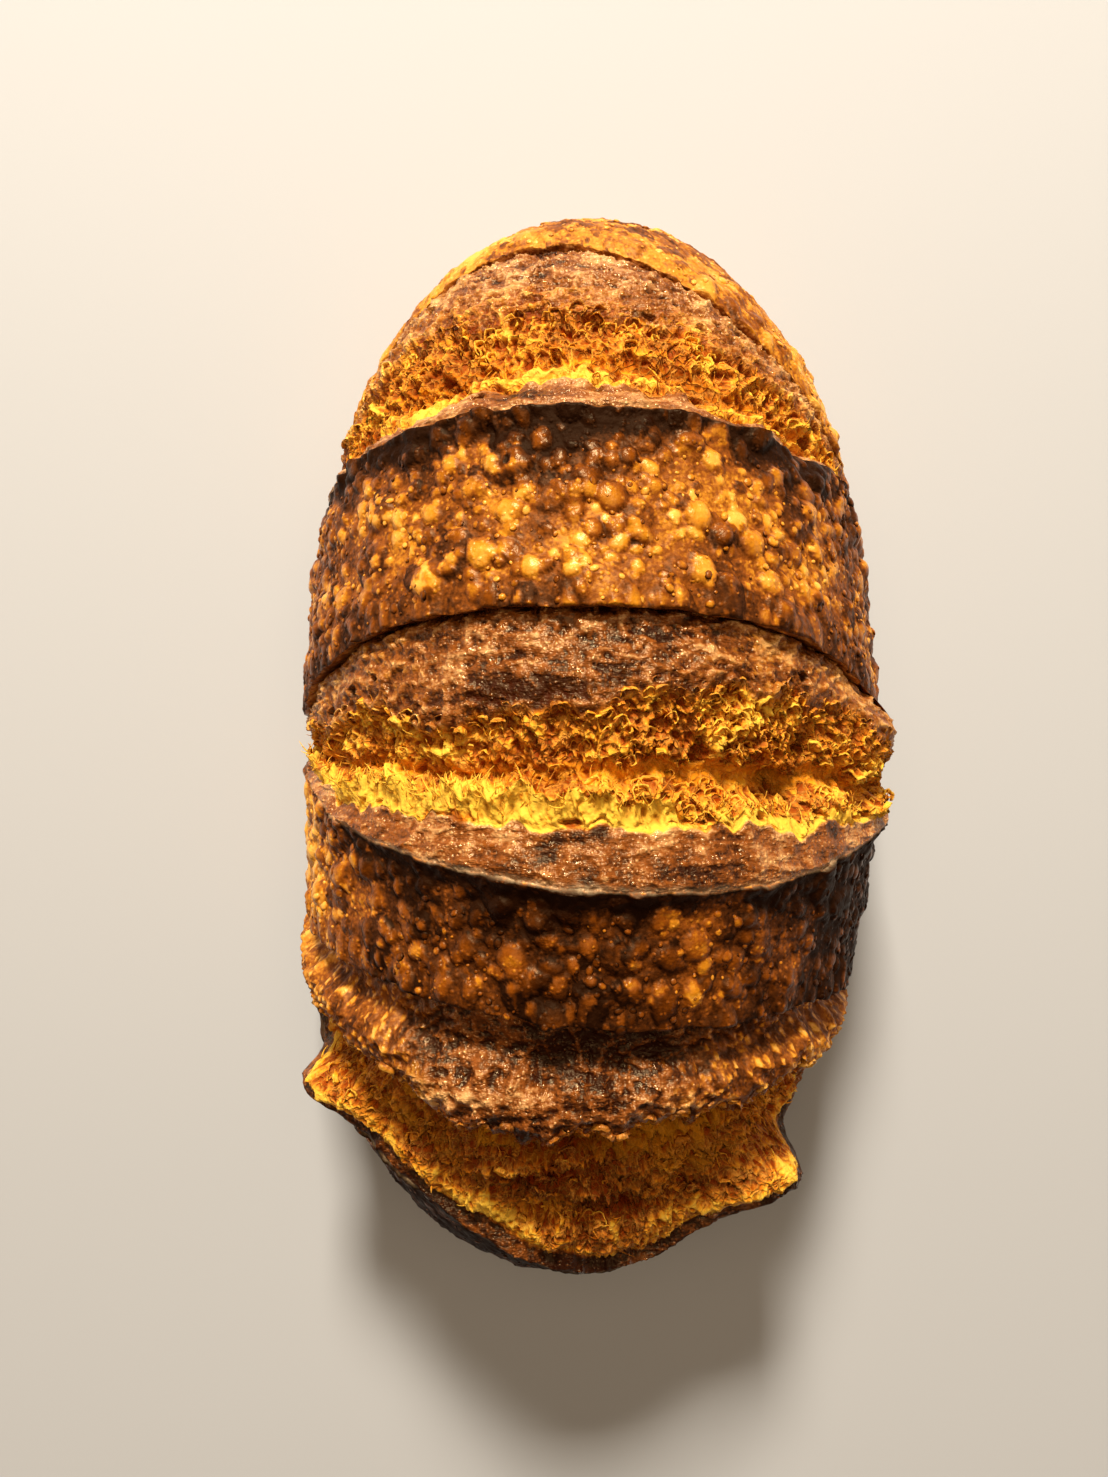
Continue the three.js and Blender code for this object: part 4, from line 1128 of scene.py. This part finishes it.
    # the golden tint keeps glints on brown starch warm, as light comes back through its top layer
    surface = node("BsdfPrincipled", IOR=1.45, Base_Color=colour, Roughness=shine, Normal=bumped,
                   Specular_IOR_Level=glassy, Specular_Tint=(1.0, 0.78, 0.46))
    node("OutputMaterial", surface)
    return material


def bread(opened):
    name = "torn_bread_opening" if opened else "blistered_bread_crust"
    return bpy.data.materials.get(name) or bread_material(name, opened)


# ------------------------------------------------------------------ pieces of the surface
NAMES = ("far_end_crust", "far_opening", "far_band", "middle_opening", "near_band", "near_opening",
         "near_end_crust")
CAP_DEPTH = 0.14  # how far a piece's hidden inner ring lies towards the loaf's middle
CAP_SHIFT = 5  # and how far along the loaf it is set back under a crust edge
CAP_SHIFT_FROM = 20  # full from this level up, none at the base
HEART_LEVEL = 0.42  # height of the piece's hidden middle point, as a share of the loaf's
UV_MARGIN = 0.02  # room in the layout for each hidden end


def together(*parts):
    """Arrays or numbers side by side along a new last axis."""
    return np.stack(np.broadcast_arrays(*parts), -1)


def corners_of(grid):
    """The four values round each face of a grid."""
    return together(grid[:-1, :-1], grid[1:, :-1], grid[1:, 1:], grid[:-1, 1:])


def placed(name, data):
    made = bpy.data.objects.new(name, data)
    bpy.context.scene.collection.objects.link(made)
    return made


def piece_rows(kinds):
    """First and last row of each piece: the crust bands and ends, and the openings."""
    ends = [0]
    for row in range(1, len(kinds)):
        if (kinds[row][1] == "crust") != (kinds[row - 1][1] == "crust"):
            ends.append(row - 1)
    ends.append(len(kinds) - 1)
    return list(zip(ends, ends[1:]))


def slice_piece(name, first, last, opened):
    """The rows first to last of the surface as one closed piece. An end that another piece covers
    is closed by a ring set inwards and a middle point, an end of the loaf by its pole."""
    loaf = loaf_surface()
    points, normals = loaf.points[first : last + 1], loaf.normals[first : last + 1]
    row_count, column_count, _ = points.shape
    grid = np.arange(row_count * column_count).reshape(row_count, column_count)
    share = np.arange(column_count) / column_count
    next_share = share + 1 / column_count
    down = np.linspace(UV_MARGIN, 1 - UV_MARGIN, row_count)

    quads = [corners_of(np.pad(grid, ((0, 0), (0, 1)), mode="wrap")).reshape(-1, 4)]
    along = together(down[:-1], down[1:], down[1:], down[:-1])[:, None]
    uvs = together(together(share, share, next_share, next_share), along)
    quad_uvs = [uvs.reshape(-1, 4, 2)]
    fans, fan_uvs, extra = [], [], []
    total = row_count * column_count
    for end, pole, at_end, turn in ((0, loaf.far_pole, first == 0, slice(None)),
                                    (-1, loaf.near_pole, last == len(loaf.points) - 1,
                                     slice(None, None, -1))):
        edge, level = grid[end], down[end]
        outside = 0.0 if end == 0 else 1.0
        if not at_end:
            shift = CAP_SHIFT if opened == (end == 0) else 0
            row = points[end]
            pole = np.array([0, row[:, 1].mean() + shift, CAD_HIGH[2] * HEART_LEVEL])
            inner = row + (pole - row) * CAP_DEPTH
            inner[:, 1] += shift * smooth(row[:, 2] / CAP_SHIFT_FROM)
            extra.append(inner)
            ring = total + np.arange(column_count)
            total += column_count
            inner_level = (level + outside) / 2
            corners = together(edge, np.roll(edge, -1), np.roll(ring, -1), ring)
            levels = np.array([level, level, inner_level, inner_level])
            uvs = together(together(share, next_share, next_share, share), levels)
            quads.append(corners[:, turn])
            quad_uvs.append(uvs[:, turn])
            edge, level = ring, inner_level
        extra.append(pole[None])
        corners = together(total, edge, np.roll(edge, -1))
        total += 1
        levels = np.array([outside, level, level])
        uvs = together(together((share + next_share) / 2, share, next_share), levels)
        fans.append(corners[:, turn])
        fan_uvs.append(uvs[:, turn])
    looks = {key: loaf.looks[key][first : last + 1].reshape(-1) for key in LOOKS}
    shown = points.reshape(-1, 3)
    vertices = np.concatenate([shown, *extra]) * MM
    uvs = np.concatenate([part.reshape(-1, 2) for part in quad_uvs + fan_uvs])
    mesh = new_mesh(name, vertices, np.concatenate(quads), np.concatenate(fans), looks, uvs)
    hidden = unit(vertices[len(shown) :] - vertices.mean(axis=0))
    mesh.normals_split_custom_set_from_vertices(np.concatenate([normals.reshape(-1, 3), hidden]))
    new_piece(name, mesh, bread(opened))


def slice_pieces(opened):
    """Every second piece along the loaf: the openings, or the crusts before, between and after."""
    for name, (first, last) in list(zip(NAMES, piece_rows(loaf_surface().kinds)))[opened::2]:
        slice_piece(name, first, last, opened)


def fill(target, key, values, kind=np.float32):
    target.foreach_set(key, values.astype(kind).reshape(-1))


def new_mesh(name, vertices, quads, triangles, looks, uvs=None):
    """A smooth mesh in metres. Its first vertices have the given looks, the rest have none."""
    mesh = bpy.data.meshes.new(name)
    loops = np.concatenate([quads.reshape(-1), triangles.reshape(-1)])
    starts = np.concatenate([np.arange(len(quads)) * 4,
                             len(quads) * 4 + np.arange(len(triangles)) * 3])
    mesh.vertices.add(len(vertices))
    fill(mesh.vertices, "co", vertices)
    mesh.loops.add(len(loops))
    fill(mesh.loops, "vertex_index", loops, np.int32)
    mesh.polygons.add(len(starts))
    fill(mesh.polygons, "loop_start", starts, np.int32)
    mesh.update(calc_edges=True)
    mesh.validate()
    fill(mesh.polygons, "use_smooth", np.ones(len(starts)), bool)
    if uvs is not None:
        fill(mesh.uv_layers.new(name="OFBake").uv, "vector", uvs)
    for key, values in looks.items():
        padded = np.zeros(len(vertices))
        padded[: len(values)] = values
        fill(mesh.attributes.new(key, "FLOAT", "POINT").data, "value", padded)
    return mesh


def new_piece(name, mesh, material):
    mesh.materials.clear()
    mesh.materials.append(material)
    piece = placed(name, mesh)
    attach(piece, "root")
    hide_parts("loaf")


# ------------------------------------------------------------------ small things that repeat
CARRIER_STEP = 2  # the surface they stand on keeps every second row and column
GROWS_FROM = 0.02  # the least density at which they stand
STRANDS_PER_M2, FILMS_PER_M2 = 1.5e6, 4e5  # at most, before the spacing thins them


def ring_shape(name, rings, dome):
    """A closed shape through rings of points, with how far up each ring lies (0 to 1)."""
    count, sides, _ = rings.shape
    grid = np.arange(count * sides).reshape(count, sides)
    beside = np.roll(grid, -1, axis=1)
    quads = together(grid[:-1], beside[:-1], beside[1:], grid[1:]).reshape(-1, 4)
    ends = [[row[0], row[n + 1], row[n + 2]]
            for row in (grid[0][::-1], grid[-1]) for n in range(sides - 2)]
    dome = np.broadcast_to(dome, (count, sides)).reshape(-1)
    return placed(name, new_mesh(name, rings.reshape(-1, 3), quads, np.array(ends), {"dome": dome}))


def blister_shape():
    """A low dome of radius 1 with a tucked-in foot."""
    angle = np.arange(7) * math.tau / 7
    profile = ((1.0, -0.3), (0.93, 0.08), (0.58, 0.28), (0.16, 0.36))
    rings = [together(r * np.cos(angle), r * np.sin(angle), z) for r, z in profile]
    return ring_shape("blister", np.array(rings), [[0], [0.35], [0.8], [0.9]])


def strand_shape():
    """A thin tapered strand of length 1 that leans towards +Y and curls up."""
    angle = np.arange(4) * math.pi / 2
    spine = ((0, -0.12, 0.075), (0.3, 0.12, 0.055), (0.65, 0.3, 0.035), (1.0, 0.38, 0.01))
    rings = [together(r * np.cos(angle), y - 0.5 * r * np.sin(angle), z + r * np.sin(angle))
             for y, z, r in spine]
    return ring_shape("strand", np.array(rings)[:, ::-1], [[0], [0.4], [0.8], [1]])


def film_shape():
    """A curled film: an upright ribbon bent into an arch of radius 1 that is open towards -Y."""
    first_turn, last_turn = -0.5, 3.6
    rings = []
    for turn in np.linspace(first_turn, last_turn, 10):
        thick = 0.1 + 0.03 * math.cos(3 * turn)
        arch = math.sin((turn + 0.5) / 4.1 * math.pi) ** 0.7
        top = 0.12 + 0.42 * arch * (1 + 0.25 * math.sin(5 * turn))
        radius = 1 + 0.12 * math.sin(4 * turn)
        corners = ((radius - thick, -0.35), (radius + thick, -0.35),
                   (radius + 0.6 * thick + 0.1, top), (radius - 0.6 * thick + 0.1, top))
        rings.append([(r * math.cos(turn), r * math.sin(turn), z) for r, z in corners])
    return ring_shape("film", np.array(rings), [0, 0, 1, 1])


def carrier(name, growth, kinds, lighter):
    """The part of the surface on which something grows, with its density and its looks, baked that
    much lighter."""
    loaf = loaf_surface()
    wanted = [row for row, (_, kind) in enumerate(loaf.kinds) if kind in kinds][::CARRIER_STEP]

    def thinned(values):
        return values[wanted][:, ::CARRIER_STEP]

    density = thinned(loaf.looks[growth])
    corners = corners_of(np.arange(density.size).reshape(density.shape))
    joined = np.diff(wanted) <= 2 * CARRIER_STEP
    grown = corners_of(density).max(axis=-1) > GROWS_FROM
    looks = {key: thinned(loaf.looks[key]).reshape(-1) for key in LOOKS if key != "dome"}
    looks["density"] = density.reshape(-1)
    looks["bake"] = looks["bake"] - lighter
    # the copies carry a third of the painted shade of the surface under them
    looks["hollow"] = 0.35 * looks["hollow"]
    return placed(name, new_mesh(name, thinned(loaf.points).reshape(-1, 3) * MM,
                                 corners[joined[:, None] & grown], np.zeros((0, 3), int), looks))


SCATTER_INPUTS = (
    ("Carrier", "Geometry"), ("Shape", "Object"), ("Spacing", "Float"), ("Density", "Float"),
    ("Smallest", "Float"), ("Largest", "Float"), ("Lean", "Float"), ("Turn", "Float"),
    ("Skew", "Float"), ("Seed", "Int"), ("Finish", "Material"),
)
NARROWEST, WIDEST = 0.75, 1.3  # how far a copy is stretched each way, of its own size
SIZE_SEED, STRETCH_SEED, TINT_SEED = 7.0, 13.0, 19.0  # added to Seed, so that the draws differ


def scatter_tree():
    """Stands copies of a shape on the carrier, upright on it and turned roughly towards +Y."""
    tree = bpy.data.node_groups.new("scatter", "GeometryNodeTree")
    for name, kind in SCATTER_INPUTS:
        tree.interface.new_socket(name, in_out="INPUT", socket_type="NodeSocket" + kind)
    tree.interface.new_socket("Copies", in_out="OUTPUT", socket_type="NodeSocketGeometry")
    node = functools.partial(add, tree)
    given = tree.nodes.new("NodeGroupInput").outputs
    seed = given["Seed"]
    spots = node("GeometryNodeDistributePointsOnFaces", distribute_method="POISSON",
                 Mesh=given["Carrier"], Distance_Min=given["Spacing"],
                 Density_Max=given["Density"], Seed=seed,
                 Density_Factor=node("GeometryNodeInputNamedAttribute", Name="density"))
    upright = node("FunctionNodeAlignRotationToVector", axis="Z",
                   Vector=spots.node.outputs["Normal"])
    facing = node("FunctionNodeAlignRotationToVector", upright, axis="Y", pivot_axis="Z",
                  Vector=(0, 1, 0))
    limit = node("CombineXYZ", given["Lean"], given["Lean"], given["Turn"])
    lean = node("FunctionNodeRandomValue", data_type="FLOAT_VECTOR", Max=limit, Seed=seed,
                Min=node("VectorMath", "SCALE", limit, -1.0))
    turned = node("FunctionNodeRotateRotation", facing, node("FunctionNodeEulerToRotation", lean),
                  rotation_space="LOCAL")
    chance, own = (node("FunctionNodeRandomValue", Seed=node("Math", "ADD", seed, more))
                   for more in (SIZE_SEED, TINT_SEED))
    size = node("Math", "MULTIPLY_ADD", node("Math", "POWER", chance, given["Skew"]),
                node("Math", "SUBTRACT", given["Largest"], given["Smallest"]), given["Smallest"])
    uneven = node("FunctionNodeRandomValue", data_type="FLOAT_VECTOR", Min=[NARROWEST] * 3,
                  Max=[WIDEST] * 3, Seed=node("Math", "ADD", seed, STRETCH_SEED))
    shape = node("GeometryNodeObjectInfo", given["Shape"], out="Geometry")
    copies = node("GeometryNodeInstanceOnPoints", spots, Instance=shape, Rotation=turned,
                  Scale=node("VectorMath", "SCALE", uneven, size))
    tinted = node("GeometryNodeStoreNamedAttribute", copies, domain="INSTANCE", Name="tint",
                  Value=own)
    joined = node("GeometryNodeRealizeInstances", tinted)
    node("NodeGroupOutput", node("GeometryNodeSetMaterial", joined, Material=given["Finish"]))
    return tree


def scatter(name, growth, kinds, shape, opened, lighter=0.0, **inputs):
    """One plain mesh of all the copies of a shape that grow on the surface."""
    tree = bpy.data.node_groups.get("scatter") or scatter_tree()
    surface = carrier(name + "_carrier", growth, kinds, lighter)
    modifier = surface.modifiers.new("scatter", "NODES")
    modifier.node_group = tree
    inputs.update(Shape=shape, Finish=bread(opened))
    for item in tree.interface.items_tree:
        if item.item_type == "SOCKET" and item.in_out == "INPUT" and item.name in inputs:
            modifier[item.identifier] = inputs[item.name]
    bpy.context.view_layer.update()
    evaluated = surface.evaluated_get(bpy.context.evaluated_depsgraph_get())
    mesh = bpy.data.meshes.new_from_object(evaluated)
    mesh.name = name
    if len(mesh.polygons) == 0:
        raise RuntimeError(name + " came out empty")
    bpy.data.objects.remove(surface)
    bpy.data.objects.remove(shape)
    mesh.attributes.remove(mesh.attributes["density"])
    points = np.empty(len(mesh.vertices) * 3, np.float32)
    mesh.vertices.foreach_get("co", points)
    fill(mesh.vertices, "co", np.clip(points.reshape(-1, 3), CAD_LOW * MM, CAD_HIGH * MM))
    new_piece(name, mesh, bread(opened))


# ------------------------------------------------------------------ operators
class LOAF_OT_crust(bpy.types.Operator):
    """Builds the blistered crust: both ends and the two bands between the openings"""

    bl_idname = "loaf.crust"
    bl_label = "Blistered crust"

    def execute(self, context):
        slice_pieces(False)
        return {"FINISHED"}


class LOAF_OT_openings(bpy.types.Operator):
    """Builds the three scored openings with their skin, torn crumb, shelf and rim"""

    bl_idname = "loaf.openings"
    bl_label = "Torn openings"

    def execute(self, context):
        slice_pieces(True)
        return {"FINISHED"}


class LOAF_OT_small_blisters(bpy.types.Operator):
    """Scatters small round blisters over the crust"""

    bl_idname = "loaf.small_blisters"
    bl_label = "Small blisters"

    def execute(self, context):
        settings = context.scene.loaf_crust
        scatter("small_blisters", "blisters", ("crust",), blister_shape(), opened=False,
                Spacing=settings.blister_spacing, Density=settings.blister_density,
                Smallest=settings.blister_smallest, Largest=settings.blister_largest,
                Lean=0.25, Turn=math.pi, Skew=3.0, Seed=SEED)
        return {"FINISHED"}


class LOAF_OT_crumb_strands(bpy.types.Operator):
    """Scatters thin torn strands along the lips of the openings"""

    bl_idname = "loaf.crumb_strands"
    bl_label = "Crumb strands"

    def execute(self, context):
        settings = context.scene.loaf_crumb
        scatter("crumb_strands", "strands", ("crumb",), strand_shape(), opened=True,
                Spacing=settings.strand_spacing, Density=STRANDS_PER_M2,
                Smallest=0.2 * settings.strand_length, Largest=settings.strand_length,
                Lean=0.5, Turn=0.7, Skew=2.2, Seed=SEED + 1)
        return {"FINISHED"}


class LOAF_OT_curled_films(bpy.types.Operator):
    """Scatters curled films over the torn crumb and along the frilled edges"""

    bl_idname = "loaf.curled_films"
    bl_label = "Curled films"

    def execute(self, context):
        settings = context.scene.loaf_crumb
        scatter("curled_films", "curls", ("skin", "crumb"), film_shape(), opened=True, lighter=0.2,
                Spacing=settings.curl_spacing, Density=FILMS_PER_M2,
                Smallest=0.3 * settings.curl_size, Largest=settings.curl_size,
                Lean=0.35, Turn=0.9, Skew=1.8, Seed=SEED + 2)
        return {"FINISHED"}


FLOOR_REACH = 3  # metres from the middle to each side
LAMPS = (  # name, place and size in metres, share of its power, colour
    ("key", (-0.1, 1.15, 1.0), 0.3, 1, (1.0, 0.9, 0.74)),
    ("fill_above", (0.0, 0.1, 1.0), 0.8, 2.0, (1.0, 0.76, 0.5)),
    ("fill_near", (0.3, -1.1, 0.2), 0.6, 0.3, (1.0, 0.72, 0.45)),
    ("fill_left", (-1.1, 0.1, 0.25), 0.6, 1.2, (1.0, 0.72, 0.45)),
    ("fill_right", (1.1, 0.1, 0.25), 0.6, 1.3, (1.0, 0.72, 0.45)),
)
AIM_LEVEL = 0.05  # the lamps point at this height over the base, in metres
LENS, SENSOR = 28.0, 36  # mm
EYE_PLACE = (-0.0089, 0.0018)  # metres


class LOAF_OT_stage(bpy.types.Operator):
    """Builds the floor, the lights and the camera"""

    bl_idname = "loaf.stage"
    bl_label = "Floor, lights and camera"

    def execute(self, context):
        scene, settings = context.scene, context.scene.loaf_stage
        mesh = bpy.data.meshes.new("floor")
        mesh.from_pydata([(x * FLOOR_REACH, y * FLOOR_REACH, 0)
                          for x, y in ((-1, -1), (1, -1), (1, 1), (-1, 1))], [], [(0, 1, 2, 3)])
        floor = placed("floor", mesh)
        material = bpy.data.materials.new("matt_paper")  # dull, so that it shows no reflection
        material.use_nodes = True
        shader = material.node_tree.nodes["Principled BSDF"]
        shader.inputs["Base Color"].default_value = [*settings.floor, 1]
        shader.inputs["Roughness"].default_value = 0.9
        mesh.materials.append(material)

        powers = {"key": settings.key_power}
        for name, place, size, share, colour in LAMPS:
            data = bpy.data.lights.new(name, "AREA")
            data.size = size
            data.energy = powers.get(name, settings.fill_power) * share
            data.color = colour
            lamp = placed(name, data)
            lamp.location = place
            aim = Vector((0, 0, AIM_LEVEL)) - Vector(place)
            lamp.rotation_euler = aim.to_track_quat("-Z", "Y").to_euler()

        world = bpy.data.worlds.new("studio")
        world.use_nodes = True
        background = world.node_tree.nodes["Background"].inputs
        background["Color"].default_value = (1, 0.84, 0.68, 1)
        background["Strength"].default_value = 0.04
        scene.world = world

        camera = bpy.data.cameras.new("camera")
        camera.lens = LENS
        camera.sensor_width = SENSOR
        camera.clip_start = 0.01
        eye = placed("camera", camera)
        eye.location = (*EYE_PLACE, settings.eye_height)
        scene.camera = eye
        scene.view_settings.view_transform = "Standard"
        return {"FINISHED"}


class LOAF_PT_panel(bpy.types.Panel):
    """Lists what builds the loaf, with its sizes and colours"""

    bl_label = "Loaf"
    bl_space_type = "VIEW_3D"
    bl_region_type = "UI"
    bl_category = "Loaf"

    def draw(self, context):
        for operator in OPERATORS:
            self.layout.operator(operator.bl_idname)
        for group in SETTINGS:
            settings = getattr(context.scene, group)
            box = self.layout.box()
            for name in settings.__annotations__:
                box.prop(settings, name)


SETTINGS = {"loaf_crust": LoafCrustSettings, "loaf_crumb": LoafCrumbSettings,
            "loaf_stage": LoafStageSettings}  # each by its name in the scene
OPERATORS = (LOAF_OT_crust, LOAF_OT_openings, LOAF_OT_small_blisters, LOAF_OT_crumb_strands,
             LOAF_OT_curled_films, LOAF_OT_stage)


def register():
    for made in (*SETTINGS.values(), *OPERATORS, LOAF_PT_panel):
        bpy.utils.register_class(made)
    for name, group in SETTINGS.items():
        setattr(bpy.types.Scene, name, bpy.props.PointerProperty(type=group))


def unregister():
    for name in SETTINGS:
        delattr(bpy.types.Scene, name)
    for made in (LOAF_PT_panel, *reversed(OPERATORS), *reversed(SETTINGS.values())):
        bpy.utils.unregister_class(made)


def main():
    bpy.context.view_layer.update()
    register()
    bpy.ops.loaf.crust()
    bpy.ops.loaf.openings()
    bpy.ops.loaf.small_blisters()
    bpy.ops.loaf.crumb_strands()
    bpy.ops.loaf.curled_films()
    bpy.ops.loaf.stage()


if __name__ == "__main__":
    main()
